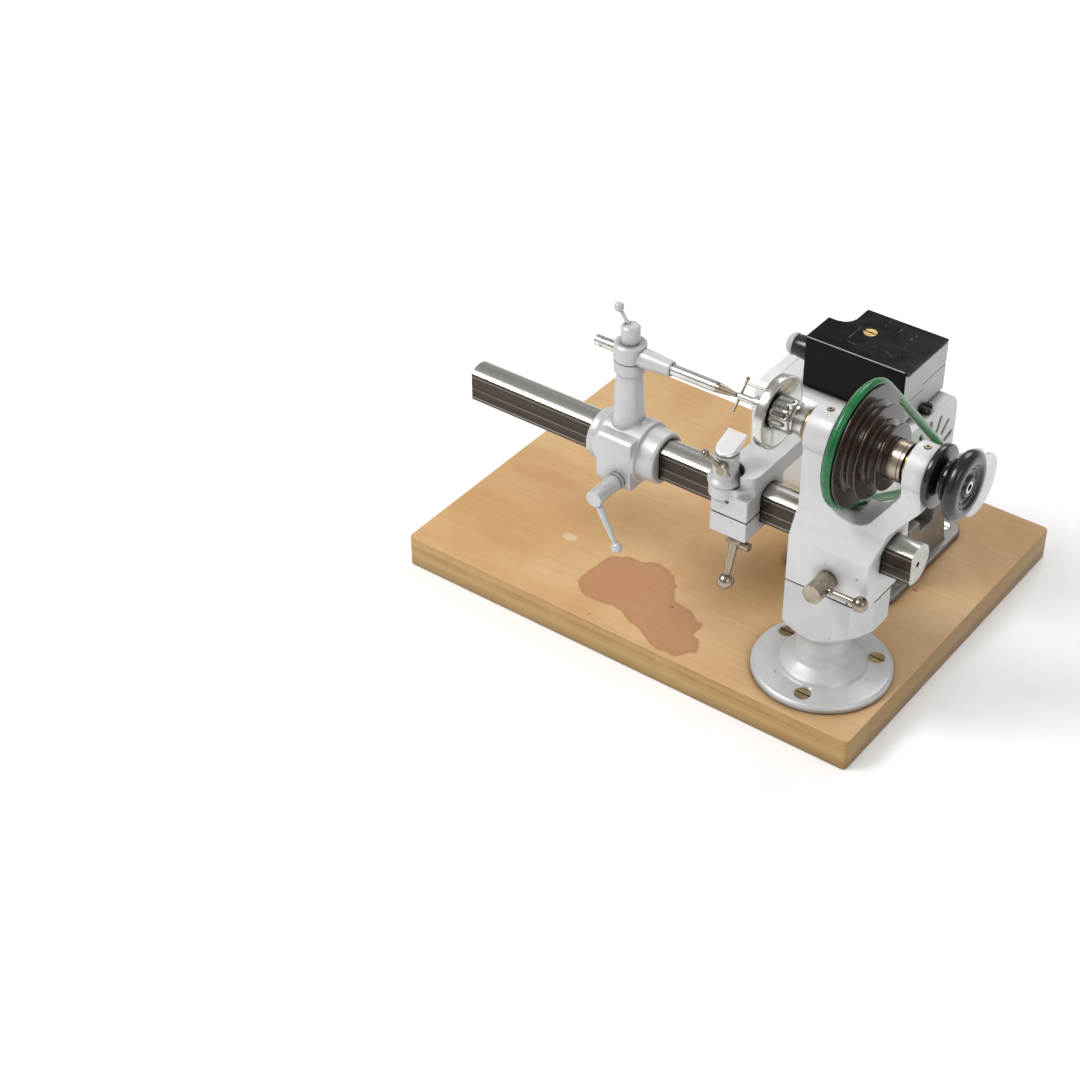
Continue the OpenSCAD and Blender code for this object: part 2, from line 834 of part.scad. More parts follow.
module rear_dust_ring() {
    x0 = pulley_x1 + 0.1;
    color("goldenrod")
        at_spindle()
            difference() {
                bar_x(x0, yoke_x1 - face_gap, rear_ring_r);
                bar_x(x0 - past, yoke_x1, journal_r + seat_gap);
            }
}

module chuck_disc() {
    r = chuck_disc_d / 2;
    color("silver")
        at_spindle()
            difference() {
                turned_x([
                    [disc_x0 + 0.6, 0], [disc_x0 + 0.6, r - 8], [disc_x0, r - 6.5], [disc_x0, r - 1],
                    [disc_x0 + 0.9, r], [disc_x1 - 0.9, r], [disc_x1, r - 0.9], [disc_x1, r - 2],
                    [hub_x0, hub_d / 2 + 0.6], [hub_x0, 0]
                ]);
                bar_x(disc_x0 - past, disc_x1 + past, arbor_d / 2 + seat_gap);
            }
}

module chuck_hub() {
    r = hub_d / 2;
    color("silver")
        at_spindle()
            difference() {
                turned_x([
                    [hub_x0, 0], [hub_x0, r - 0.8], [hub_x0 + 0.8, r], [hub_x1 - 1.2, r],
                    [hub_x1, r - 1.2], [hub_x1, 0]
                ]);
                for (i = [0 : flute_n - 1])
                    rotate([360 * i / flute_n, 0, 0])
                        translate([0, 0, r + 0.4])
                            bar_x(hub_x0 + 1, hub_x1 - 2, 1.7);
                bar_x(hub_x0 - past, hub_x1 - 6.2, arbor_d / 2 + seat_gap);
                bar_x(hub_x1 - 6.3, hub_x1 + past, journal_r - 0.6 + seat_gap);
            }
}

module work_arbor() {
    r = arbor_d / 2;
    tip_r = arbor_tip_d / 2;
    x1 = hub_x1 - 6.6;
    color("silver")
        at_spindle()
            difference() {
                turned_x([
                    [arbor_x0, 0], [arbor_x0, tip_r - 0.4], [arbor_x0 + 0.4, tip_r],
                    [arbor_step_x, tip_r], [arbor_step_x, r - 0.6], [arbor_step_x + 0.6, r],
                    [x1 - 0.5, r], [x1, r - 0.5], [x1, 0]
                ]);
                cross_bar_axis()
                    translate([0, 0, -wide / 2])
                        cylinder(r = cross_bar_d / 2 + seat_gap, h = wide);
                bar_x(x1 - 6, x1 + past, 1.6);
            }
}

// Axis of the bar through the arbor's front end, with +Z towards its thick end
module cross_bar_axis() {
    translate([cross_bar_x, 0, 0])
        rotate([cross_bar_tilt - 90, 0, 0])
            children();
}

module cross_bar() {
    half = cross_bar_l / 2;
    color("dimgray")
        at_spindle()
            cross_bar_axis() {
                translate([0, 0, cross_bar_up - half])
                    cylinder(d = cross_bar_d, h = cross_bar_l);
                translate([0, 0, cross_bar_up + half - 0.6])
                    sphere(d = cross_bar_d * 1.5);
            }
}

// Pin in the face disc that carries the cross bar round
module drive_pin() {
    color("dimgray")
        at_spindle()
            rotate([cross_bar_tilt - 90, 0, 0])
                translate([0, 0, drive_pin_r])
                    bar_x(cross_bar_x + cross_bar_d / 2 + 0.1, disc_x0, drive_pin_d / 2);
}

module lock_disc() {
    r = lock_disc_d / 2;
    x1 = lock_x0 + lock_disc_t;
    neck_r = r / 2;
    color("black")
        at_spindle()
            difference() {
                turned_x([
                    [lock_x0, 0], [lock_x0, r - 1], [lock_x0 + 1, r], [x1 - 0.8, r], [x1, r - 1],
                    [x1 + 0.6, neck_r + 3], [x1 + 1.5, neck_r], [x1 + lock_neck_l, neck_r],
                    [x1 + lock_neck_l, 0]
                ]);
                bar_x(lock_x0 - past, x1 + 0.05, journal_r - 0.8 + seat_gap);
                bar_x(x1, x1 + lock_neck_l + past, draw_tube_d / 2 + 0.1);
            }
}

module draw_tube() {
    color("silver")
        at_spindle()
            difference() {
                bar_x(hub_x1 - 5, wheel_x1 - 0.8, draw_tube_d / 2);
                bar_x(hub_x1 - 6, wheel_x1, draw_bore_d / 2);
            }
}

module draw_handwheel() {
    r = handwheel_d / 2;
    color("black")
        at_spindle()
            difference() {
                turned_x([
                    [wheel_x0, 0], [wheel_x0, r / 2], [wheel_x0 + 0.8, r * 0.74],
                    [wheel_x0 + 2, r - 2.2], [wheel_x0 + 3.5, r - 1.8], [wheel_x0 + 5.5, r - 3.8],
                    [wheel_x0 + 7.1, r - 1.4], [wheel_x0 + 8.5, r], [wheel_x1 - 2, r - 0.3],
                    [wheel_x1, r - 2], [wheel_x1, r * 0.66], [wheel_x1 - 2.6, r * 0.6],
                    [wheel_x1 - 2.6, r * 0.3], [wheel_x1 - 0.4, r * 0.27], [wheel_x1 - 0.4, 0]
                ]);
                bar_x(wheel_x0 - past, wheel_x1 + past, draw_tube_d / 2 + seat_gap);
            }
}

// Belt

belt_dy = motor_y - bed_y;
belt_dz = motor_z - spindle_z;
belt_span = sqrt(belt_dy * belt_dy + belt_dz * belt_dz);
belt_steps = 24;

// Direction from the spindle to the motor shaft, and half the angle between the two runs
function belt_angle() = atan2(belt_dz, belt_dy);
function belt_spread() = asin((belt_track_r - motor_track_r) / belt_span);

// Point on a circle about the spindle or the motor shaft, in Y and Z
function on_spindle(a) = [bed_y + belt_track_r * cos(a), spindle_z + belt_track_r * sin(a)];
function on_motor(a) = [motor_y + motor_track_r * cos(a), motor_z + motor_track_r * sin(a)];

// Closed centre line of the belt: round the spindle pulley, then round the motor pulley
belt_top = belt_angle() + 90 - belt_spread();
belt_low = belt_angle() - 90 + belt_spread();
belt_path = concat(
    [for (i = [0 : belt_steps]) on_spindle(belt_top + (belt_low + 360 - belt_top) * i / belt_steps)],
    [for (i = [0 : belt_steps / 2]) on_motor(belt_low + (belt_top - belt_low) * i * 2 / belt_steps)]
);

// Direction of the centre line at one point, from its neighbours
function path_turn(i) =
    let (n = len(belt_path), a = belt_path[(i + n - 1) % n], b = belt_path[(i + 1) % n])
    atan2(b[1] - a[1], b[0] - a[0]);

module drive_belt() {
    n = len(belt_path);
    sides = 10;
    color("darkgreen")
        polyhedron(
            points = [
                for (i = [0 : n - 1], k = [0 : sides - 1])
                    let (t = path_turn(i), a = 360 * k / sides)
                    [belt_x + belt_r * cos(a),
                     belt_path[i][0] - belt_r * sin(a) * sin(t),
                     belt_path[i][1] + belt_r * sin(a) * cos(t)]
            ],
            faces = [
                for (i = [0 : n - 1], k = [0 : sides - 1], half = [0, 1])
                    let (j = (i + 1) % n, m = (k + 1) % sides,
                         a = i * sides + k, b = i * sides + m, c = j * sides + m, d = j * sides + k)
                    half == 0 ? [a, b, c] : [a, c, d]
            ]
        );
}

// Motor

module housing_section(w, h, r, x0, x1) {
    at_motor()
        slab_x(round_rect(w, h, r), x0, x1);
}

module motor_housing() {
    x0 = motor_x0 + left_cover_l;
    x1 = motor_x1 - right_cover_l;
    color("white")
        difference() {
            housing_section(motor_w, motor_h, motor_corner_r, x0, x1);
            housing_section(motor_w - 2 * motor_wall, motor_h - 2 * motor_wall,
                            motor_corner_r - motor_wall, x0 - past, x1 + past);
        }
}

// Motor end cover of length l with its floor at x = 0 and its open end towards +X
module end_cover(l) {
    difference() {
        union() {
            slab_x(round_rect(motor_w - 1.6, motor_h - 1.6, motor_corner_r - 0.8), 0, 1);
            slab_x(round_rect(motor_w, motor_h, motor_corner_r), 0.8, l);
            bar_x(-cover_boss_l, 1, cover_boss_r);
        }
        slab_x(round_rect(motor_w - 2 * motor_wall, motor_h - 2 * motor_wall,
                          motor_corner_r - motor_wall), cover_floor, l + past);
        bar_x(bearing_l - cover_boss_l - 3.8, l, bearing_r + seat_gap);
        bar_x(-cover_boss_l - past, l, motor_shaft_d / 2 + 0.6);
    }
}

module motor_left_cover() {
    color("white")
        translate([motor_x0, motor_y, motor_z])
            end_cover(left_cover_l);
}

module motor_right_cover() {
    slot_w = 2.6;
    color("white")
        difference() {
            translate([motor_x1, motor_y, motor_z])
                mirror([1, 0, 0])
                    end_cover(right_cover_l);
            at_motor() {
                for (i = [0 : 4], s = [0, 180])
                    rotate([s + 15 + 25 * i, 0, 0])
                        block([motor_x1 - cover_floor - past, 18.5, -slot_w / 2],
                              [motor_x1 + past, 28.5, slot_w / 2]);
                translate([brush_x, 0, -motor_h])
                    cylinder(r = holder_r + seat_gap, h = 2 * motor_h);
            }
        }
}

module motor_stator() {
    inset = 2 * (motor_wall + seat_gap);
    color("slategray")
        difference() {
            housing_section(motor_w - inset, motor_h - inset, motor_corner_r,
                            armature_x0 + 2, armature_x0 + armature_l - 2);
            at_motor()
                bar_x(armature_x0, armature_x0 + armature_l, armature_d / 2 + air_gap);
        }
}

module motor_bearings() {
    reach = cover_boss_l - 1.2;
    color("peru")
        at_motor()
            for (x = [motor_x0 - reach, motor_x1 + reach - bearing_l])
                difference() {
                    bar_x(x, x + bearing_l, bearing_r);
                    bar_x(x - past, x + bearing_l + past, shaft_r + bearing_gap);
                }
}

// Outline of one foot as seen along the motor, with an arch under the brush cap
function foot_side() = [
    [-27, board_t + foot_t - 0.5], [27, board_t + foot_t - 0.5], [21, housing_bottom - 4],
    [21, housing_bottom - 0.05], [9, housing_bottom - 0.05], [7, housing_bottom - 9],
    [-7, housing_bottom - 9], [-9, housing_bottom - 0.05], [-21, housing_bottom - 0.05],
    [-21, housing_bottom - 4]
];

module motor_feet() {
    end = foot_half - foot_l / 2;
    color("gray")
        difference() {
            for (x = foot_xs) {
                block([x - foot_l / 2, motor_y - end, board_t],
                      [x + foot_l / 2, motor_y + end, board_t + foot_t]);
                for (s = [-1, 1])
                    translate([x, motor_y + s * end, board_t])
                        cylinder(d = foot_l, h = foot_t);
                translate([0, motor_y, 0])
                    slab_x(foot_side(), x - foot_web_t / 2, x + foot_web_t / 2);
            }
            at_motor_screws()
                screw_hole(board_t + foot_t, motor_screw_head_d, motor_screw_d, motor_screw_l);
        }
}

module motor_feet_screws() {
    color("silver")
        at_motor_screws()
            slotted_screw(board_t + foot_t, motor_screw_head_d, motor_screw_d, motor_screw_l);
}

module at_brushes() {
    at_motor()
        translate([brush_x, 0, 0])
            for (a = [0, 180])
                rotate([a, 0, 0])
                    children();
}

module brush_caps() {
    side = motor_h / 2;
    color("black")
        at_brushes()
            difference() {
                union() {
                    translate([0, 0, side + 0.05])
                        cylinder(r = brush_cap_r, h = 4.2);
                    translate([0, 0, side - motor_wall - 6])
                        cylinder(r = holder_r, h = motor_wall + 6.1);
                }
                block([-brush_cap_r - 1, -0.6, side + 3], [brush_cap_r + 1, 0.6, side + 6]);
                translate([0, 0, side - motor_wall - 7])
                    cylinder(r = brush_r + seat_gap, h = motor_wall + 7);
            }
}

module carbon_brushes() {
    color("black")
        at_brushes()
            translate([0, 0, commutator_r + 0.3])
                cylinder(r = brush_r, h = motor_h / 2 - commutator_r - 0.6);
}

// Plan of the control box, drawn in by inset, with the notch at its back left corner
function box_plan(inset) =
    let (r = 7, nx = box_x0 + box_notch + inset, ny = box_y1 - box_notch * 1.47 - inset)
    concat(
        [[box_x0 + inset, box_y0 + inset], [box_x1 - inset, box_y0 + inset],
         [box_x1 - inset, box_y1 - inset], [nx, box_y1 - inset]],
        [for (i = [0 : 8]) let (a = -90 * i / 8) [nx - r + r * cos(a), ny + r + r * sin(a)]],
        [[box_x0 + inset, ny]]
    );

module control_box_base() {
    gap = 0.1;
    seam_z = box_z1 - box_seam_drop;
    step_y = box_y0 + 19;
    deep = box_x1 - 0.5;
    color("silver")
        difference() {
            union() {
                block([box_x0 + 8, box_y0 + 6, housing_top + 0.05],
                      [box_x1 - 8, box_y0 + 22, box_z0 + 1]);
                translate([0, 0, box_z0])
                    linear_extrude(box_wall)
                        polygon(box_plan(box_wall + gap));
                // Floor's end under the panel
                block([box_x1 - 2 * box_wall, box_y0 + box_wall + gap, box_z0],
                      [box_x1 - panel_t + 0.01, box_y1 - box_wall - gap, box_z0 + box_wall]);
                // End panel that shows on the right, with a stepped seam
                block([box_x1 - panel_t, box_y0, box_z0], [box_x1, box_y1, box_z1 - box_wall - gap]);
            }
            block([deep, box_y0 - past, seam_z - 4.5], [box_x1 + past, step_y + 0.6, seam_z - 3.8]);
            block([deep, step_y, seam_z - 4.5], [box_x1 + past, step_y + 0.6, seam_z]);
            block([deep, step_y, seam_z - 0.7], [box_x1 + past, box_y1 + past, seam_z]);
            box_screw_axis()
                cylinder(r = 1.3 + seat_gap, h = box_h);
        }
}

// Axis of the single screw that holds the cover, starting on the tray's floor
module box_screw_axis() {
    translate([box_x0 + 27, box_y0 + 24.3, box_z0 + 0.5])
        children();
}

module control_box_cover() {
    gap = 0.1;
    color("black")
        difference() {
            union() {
                difference() {
                    translate([0, 0, box_z0])
                        linear_extrude(box_h)
                            polygon(box_plan(0));
                    translate([0, 0, box_z0 - past])
                        linear_extrude(box_h - box_wall + past)
                            polygon(box_plan(box_wall));
                    block([box_x1 - panel_t - gap, box_y0 - past, box_z0 - past],
                          [box_x1 + past, box_y1 + past, box_z1 - box_wall]);
                    block([box_x1 - 2 * box_wall, box_y0 + box_wall, box_z0 - past],
                          [box_x1, box_y1 - box_wall, box_z1 - box_wall]);
                }
                box_screw_axis()
                    translate([0, 0, 2.2])
                        cylinder(r = 5.2, h = box_h - 3.5);
            }
            box_screw_axis() {
                cylinder(r = 1.3 + seat_gap, h = box_h);
                translate([0, 0, box_h - 2.4])
                    cylinder(r = 4.3, h = box_h);
            }
        }
}

module control_box_screw() {
    seat_z = box_h - 2.4;
    color("goldenrod")
        box_screw_axis()
            difference() {
                union() {
                    cylinder(r = 1.3, h = seat_z + 0.5);
                    translate([0, 0, seat_z + 0.05])
                        cylinder(r = 3.9, h = 1.6);
                }
                block([-5, -0.5, seat_z + 0.8], [5, 0.5, seat_z + 3]);
            }
}

module cord_gland() {
    color("lightgray")
        translate([0, box_y0 + 8, box_z0 + 19])
            difference() {
                turned_x([
                    [box_x0 - 15, 0], [box_x0 - 15, 3], [box_x0 - 13.8, 5], [box_x0 - 11, 6.4],
                    [box_x0 - 8, 6.8], [box_x0 - 8, 5], [box_x0 - 6.4, 5], [box_x0 - 0.05, 7.2],
                    [box_x0 - 0.05, 0]
                ]);
                bar_x(box_x0 - 16, box_x0 - 3, 2.2);
            }
}

module motor_shaft() {
    x1 = motor_pulley_x1 + 2;
    color("silver")
        at_motor()
            turned_x([
                [motor_x0 - 5, 0], [motor_x0 - 5, shaft_r - 0.5], [motor_x0 - 4.5, shaft_r],
                [x1 - 0.5, shaft_r], [x1, shaft_r - 0.5], [x1, 0]
            ]);
}

module on_shaft() {
    at_motor()
        difference() {
            children();
            bar_x(-wide, wide, shaft_r + seat_gap);
        }
}

module armature() {
    slots = 12;
    color("peru")
        on_shaft()
            difference() {
                union() {
                    bar_x(armature_x0, armature_x0 + armature_l, armature_d / 2);
                    bar_x(armature_x0 - 4, armature_x0 + armature_l + 4, armature_d / 2 - 5);
                }
                for (i = [0 : slots - 1])
                    rotate([360 * i / slots, 0, 0])
                        block([armature_x0 - past, -1, armature_d / 2 - 4],
                              [armature_x0 + armature_l + past, 1, armature_d]);
            }
}

module commutator() {
    color("peru")
        on_shaft()
            bar_x(commutator_x0, commutator_x0 + commutator_l, commutator_r);
}

module cooling_fan() {
    blades = 8;
    color("gray")
        on_shaft()
            union() {
                bar_x(fan_x0, fan_x0 + fan_t, shaft_r + 3);
                bar_x(fan_x0, fan_x0 + 1.6, fan_r);
                for (i = [0 : blades - 1])
                    rotate([360 * i / blades, 0, 0])
                        block([fan_x0, -0.8, shaft_r + 2], [fan_x0 + fan_t, 0.8, fan_r - 1]);
            }
}

module motor_pulley() {
    color("lightgray")
        on_shaft()
            turned_x(concat(
                [[pulley_x0, 0]],
                [for (i = [0 : pulley_steps - 1])
                    each step_profile(i, motor_track_r + i * motor_pulley_rise)],
                [[motor_pulley_x1, motor_track_r + (pulley_steps - 1) * motor_pulley_rise],
                 [motor_pulley_x1, 0]]
            ));
}

// Hand rest

module at_rest_post(z = 0) {
    translate([rest_post_x, rest_post_y, z])
        children();
}

module shoe_bolt_hole(z1) {
    translate([rest_bolt_x, rest_bolt_y, 0])
        cylinder(r = rest_bolt_r + seat_gap, h = z1);
}

// Plan of the raised block and of its arm, which lies flush with the shoe's right face
function rest_plan() =
    let (nose = 8, x0 = shoe_x0 + 1.6, arm_x = shoe_x1 - rest_arm_w)
    concat(
        [[x0, shoe_y1], [x0, shoe_y0 + 8], [shoe_x1 - nose, shoe_y0 + 4]],
        [for (a = [-90 : 15 : 0])
            [shoe_x1 - nose + nose * cos(a), shoe_y0 + 4 + nose + nose * sin(a)]],
        [[shoe_x1, shoe_y1 + rest_arm_l], [arm_x, shoe_y1 + rest_arm_l], [arm_x, shoe_y1]]
    );

module rest_shoe_upper() {
    boss_r = ring_r - 0.9;
    boss_z = corner_z - 3;
    color("whitesmoke")
        difference() {
            union() {
                block([shoe_x0, shoe_y0, shoe_split + shoe_split_gap / 2], [shoe_x1, shoe_y1, corner_z]);
                translate([0, 0, corner_z - past])
                    linear_extrude(ledge_z - corner_z + past)
                        polygon([
                            [shoe_x0, shoe_y1], [shoe_x0, shoe_y0 + 4], [rest_post_x, shoe_y0 + 0.4],
                            [shoe_x1 - 7, shoe_y0 + 0.4], [shoe_x1, shoe_y0 + 8], [shoe_x1, shoe_y1]
                        ]);
                // Arm and raised block
                translate([0, 0, corner_z])
                    linear_extrude(rest_top - corner_z)
                        polygon(rest_plan());
                // Round boss under the post holder
                at_rest_post(boss_z)
                    cylinder(r = boss_r, h = ledge_z - boss_z);
                at_rest_post(boss_z - 4)
                    cylinder(r1 = boss_r - 4, r2 = boss_r, h = 4);
            }
            at_rest_post(ledge_z)
                cylinder(r = ring_r + face_gap, h = wide);
            at_rest_post(ledge_z - holder_pin_l - 0.3)
                cylinder(r = holder_pin_r + bearing_gap, h = wide);
            bed_section(slide_gap, shoe_x0 - past, shoe_x1 + past);
            shoe_bolt_hole(rest_bolt_top + 0.3);
            // Small mark hole in the front face
            translate([rest_x - 1.4, 0, bed_z + 7])
                bar_y(shoe_y0 - past, shoe_y0 + 1.2, 1.1);
        }
}

module rest_shoe_lower() {
    color("whitesmoke")
        difference() {
            block([shoe_x0, shoe_y0, shoe_bottom], [shoe_x1, shoe_y1, shoe_split - shoe_split_gap / 2]);
            bed_section(slide_gap, shoe_x0 - past, shoe_x1 + past);
            shoe_bolt_hole(wide);
        }
}

module rest_bolt() {
    foot_z = shoe_bottom - face_gap - rest_hub_l + 1;
    color("gray")
        translate([rest_bolt_x, rest_bolt_y, foot_z])
            cylinder(r = rest_bolt_r, h = rest_bolt_top - foot_z);
}

module rest_clamp_lever() {
    top = shoe_bottom - face_gap;
    start = [0.4, -1.6, top - 6.6];
    tip = [1, -9.4, top - 28.5];
    reach = tip - start;
    lever_l = norm(reach);
    color("dimgray")
        translate([rest_bolt_x, rest_bolt_y, 0])
            difference() {
                union() {
                    turned_z([
                        [top, 0], [top, rest_hub_r - 0.8], [top - 2.4, rest_hub_r - 0.8],
                        [top - 4.4, rest_hub_r], [top - 6, rest_hub_r - 0.2],
                        [top - rest_hub_l, rest_hub_r - 2], [top - rest_hub_l, 0]
                    ]);
                    translate(start)
                        rotate([0, acos(reach[2] / lever_l), atan2(reach[1], reach[0])])
                            turned_z([[0, 0], [0, 2.8], [lever_l - 3, 1.9], [lever_l, 2.1], [lever_l, 0]]);
                    translate(tip)
                        sphere(d = rest_ball_d);
                    // Cam beside the hub
                    translate([0, 0, top - rest_hub_l])
                        bar_x(0, rest_hub_r + 3.4, 2.6);
                }
                translate([0, 0, top - rest_hub_l + 0.9])
                    cylinder(r = rest_bolt_r + seat_gap, h = wide);
            }
}

// Column that turns on the shoe and holds the post of the tool rest
module rest_holder() {
    color("whitesmoke")
        difference() {
            at_rest_post()
                turned_z([
                    [holder_z - holder_pin_l, 0], [holder_z - holder_pin_l, holder_pin_r],
                    [holder_z, holder_pin_r], [holder_z, ring_r - 0.4], [holder_z + 0.4, ring_r],
                    [holder_z + 1.8, ring_r], [holder_z + 2.6, ring_r - 0.8],
                    [holder_z + 4, post_column_r + 0.4], [holder_z + 5.2, post_column_r],
                    [holder_top - 0.4, post_column_r], [holder_top, post_column_r - 0.4], [holder_top, 0]
                ]);
            at_rest_post(socket_floor)
                cylinder(r = rest_post_r + bearing_gap, h = wide);
            at_post_clamp()
                bar_y(-post_column_r - past, 0, 1.6 + seat_gap);
        }
}

module tool_rest() {
    half = rest_edge_l / 2;
    back_z = blade_z + blade_rise;
    color("white")
        at_rest_post() {
            translate([0, 0, socket_floor + 0.4])
                cylinder(r = rest_post_r, h = blade_z - socket_floor);
            intersection() {
                translate([0, 0, blade_z])
                    linear_extrude(blade_rise) {
                        circle(r = half);
                        translate([-half, 0])
                            square([rest_edge_l, blade_reach]);
                    }
                slab_x([
                    [-half, blade_z], [half / 2, blade_z], [blade_reach, back_z - 2],
                    [blade_reach, back_z], [-half, blade_z + blade_lip]
                ], -half, half);
            }
        }
}

// Axis of the screw that clamps the post, with -Y outwards
module at_post_clamp() {
    at_rest_post(post_clamp_z)
        rotate([0, 0, post_clamp_turn])
            children();
}

module rest_post_clamp() {
    y1 = -post_column_r - face_gap;
    y0 = y1 - post_clamp_hub_l;
    color("gray")
        at_post_clamp() {
            bar_y(y1 - 0.01, -rest_post_r - 0.2, 1.6);
            bar_y(y0, y1, 2.9);
            translate([0, y0 + 1.5, 0])
                rotate([0, post_clamp_lever_turn, 0]) {
                    turned_z([
                        [-5.6, 0], [-5.6, 1.1], [-4, 1.5], [2, 1.5],
                        [post_clamp_lever_l, 0.9], [post_clamp_lever_l, 0]
                    ]);
                    translate([0, 0, post_clamp_lever_l])
                        sphere(d = post_ball_d);
                }
        }
}

// Tailstock

module tail_body() {
    left = tail_x - sleeve_left;
    right = tail_x + sleeve_right;
    collar_z = tail_joint_z - collar_h;
    ring_x = tail_x + 15.3;
    color("whitesmoke")
        difference() {
            union() {
                at_bed()
                    turned_x([
                        [left, 0], [left, sleeve_r - 3.6], [left + 0.8, sleeve_r - 3],
                        [left + 5, sleeve_r - 3], [left + 8.5, sleeve_r], [ring_x - 0.6, sleeve_r],
                        [ring_x, sleeve_r - 0.6], [ring_x, sleeve_r - 2], [right - 1, sleeve_r - 2.6],
                        [right, sleeve_r - 3.4], [right, 0]
                    ]);
                slab_x([
                    [tail_block_y, tail_block_z0 + 1], [tail_block_y + 2, tail_block_z0 - 4],
                    [bed_y - 4, tail_block_z0 - 3], [bed_y, tail_block_z1],
                    [tail_block_y + 2.4, tail_block_z1], [tail_block_y, tail_block_z1 - 1.6]
                ], tail_block_x0, tail_block_x0 + tail_block_l);
                translate([tail_x, bed_y, 0])
                    turned_z([
                        [bed_z + bed_r + 1, 0], [bed_z + bed_r + 1, tail_root_d / 2 + 1.5],
                        [bed_z + sleeve_r + 0.4, tail_root_d / 2],
                        [collar_z - 1, tail_column_d / 2], [collar_z, tail_head_d / 2 - 0.4],
                        [tail_joint_z - 0.6, tail_head_d / 2], [tail_joint_z, tail_head_d / 2 - 0.4],
                        [tail_joint_z, 0]
                    ]);
            }
            bed_section(slide_gap, left - past, right + past);
            translate([tail_x, bed_y, tail_joint_z - tail_pin_h])
                cylinder(r = tail_pin_r + bearing_gap, h = tail_pin_h + past);
            translate([tail_clamp_x, 0, tail_clamp_z])
                bar_y(tail_block_y - past, tail_block_y + tail_clamp_in + 0.3, tail_clamp_r + 0.08);
        }
}

module tail_clamp_shaft() {
    face = tail_block_y;
    color("silver")
        translate([tail_clamp_x, 0, tail_clamp_z])
            difference() {
                union() {
                    bar_y(face - face_gap - 0.01, face + tail_clamp_in, tail_clamp_r);
                    bar_y(face - 2.2, face - face_gap, 5.2);
                    bar_y(face - 3.4, face - 2.19, 4.3);
                    bar_y(face - tail_clamp_out, face - 3.39, 4.8);
                }
                translate([0, face - tail_lever_out, 0])
                    rotate([0, tail_lever_turn, 0])
                        bar_x(-1.5, 10, 1.7 + seat_gap);
            }
}

module tail_clamp_lever() {
    color("whitesmoke")
        translate([tail_clamp_x, tail_block_y - tail_lever_out, tail_clamp_z])
            rotate([0, tail_lever_turn, 0]) {
                turned_x([
                    [-1, 0], [-1, 1.7], [5.2, 1.7], [6.5, 2.2], [tail_lever_l - 2, 1.3],
                    [tail_lever_l - 2, 0]
                ]);
                translate([tail_lever_l, 0, 0])
                    sphere(d = tail_ball_d);
            }
}

module tail_head() {
    color("whitesmoke")
        difference() {
            translate([tail_x, bed_y, 0])
                turned_z([
                    [tail_joint_z - tail_pin_h + 0.3, 0], [tail_joint_z - tail_pin_h + 0.3, tail_pin_r],
                    [tail_joint_z + face_gap, tail_pin_r], [tail_joint_z + face_gap, tail_head_d / 2 - 0.4],
                    [tail_joint_z + face_gap + 0.6, tail_head_d / 2],
                    [tail_head_top - 1, tail_head_d / 2], [tail_head_top, tail_head_d / 2 - 1.2],
                    [tail_head_top, 0]
                ]);
            at_spindle()
                bar_x(tail_x - tail_head_d, tail_x + tail_head_d, runner_r + runner_gap);
            translate([tail_x, bed_y, tail_head_top - 2])
                cylinder(r = 2.4 + bearing_gap, h = 3);
        }
}

module tail_barrel() {
    root = tail_x + tail_head_d / 2 - 3;
    tip = tail_x + barrel_reach;
    color("whitesmoke")
        at_spindle()
            difference() {
                turned_x([
                    [root, 0], [root, barrel_d / 2], [root + 6, barrel_d / 2],
                    [tip - 0.6, barrel_d / 2 - 1.1], [tip, barrel_d / 2 - 1.6], [tip, 0]
                ]);
                bar_x(root - past, tip + past, runner_r + runner_gap);
                translate([tail_x, 0, -wide / 2])
                    cylinder(r = tail_head_d / 2 + seat_gap, h = wide);
            }
}

module tail_lock_cap() {
    z0 = tail_head_top + face_gap;
    color("whitesmoke")
        translate([tail_x, bed_y, 0])
            difference() {
                turned_z([
                    [tail_head_top - 1.8, 0], [tail_head_top - 1.8, 2.4], [z0, 2.4], [z0, cap_r],
                    [z0 + cap_h - 1, cap_r], [z0 + cap_h, cap_r - 1], [z0 + cap_h, 0]
                ]);
                lock_lever_axis()
                    translate([0, 0, -3])
                        cylinder(r = 1.3 + seat_gap, h = 20);
            }
}

// Axis of the small lever in the lock cap, leaning towards the tailstock's left end
module lock_lever_axis() {
    translate([0, 0, tail_head_top + face_gap + cap_h - 2.5])
        rotate([0, -36, 0])
            children();
}

module tail_lock_lever() {
    lever_l = 13.4;
    color("whitesmoke")
        translate([tail_x, bed_y, 0])
            lock_lever_axis() {
                turned_z([[-2.8, 0], [-2.8, 1.3], [lever_l, 0.9], [lever_l, 0]]);
                translate([0, 0, lever_l])
                    sphere(d = 5.6);
            }
}

module tail_runner() {
    left = tail_x - runner_back;
    right = tail_x + point_reach - 12.5;
    color("silver")
        at_spindle()
            difference() {
                turned_x([
                    [left, 0], [left, runner_r - 0.6], [left + 0.6, runner_r], [left + 4, runner_r],
                    [left + 4.4, runner_r - 0.5], [left + 5.4, runner_r - 0.5], [left + 5.8, runner_r],
                    [right - 0.4, runner_r], [right, runner_r - 0.4], [right, 0]
                ]);
                bar_x(right - 8, right + past, 1.6 + seat_gap);
            }
}

module tail_point() {
    tip = tail_x + point_reach;
    color("tan")
        at_spindle()
            turned_x([
                [tip - 20, 0], [tip - 20, 1.6], [tip - 12.4, 1.6], [tip - 12.4, 2.7], [tip - 11, 2.8],
                [tip - 1, 1.4], [tip, 1], [tip, 0]
            ]);
}

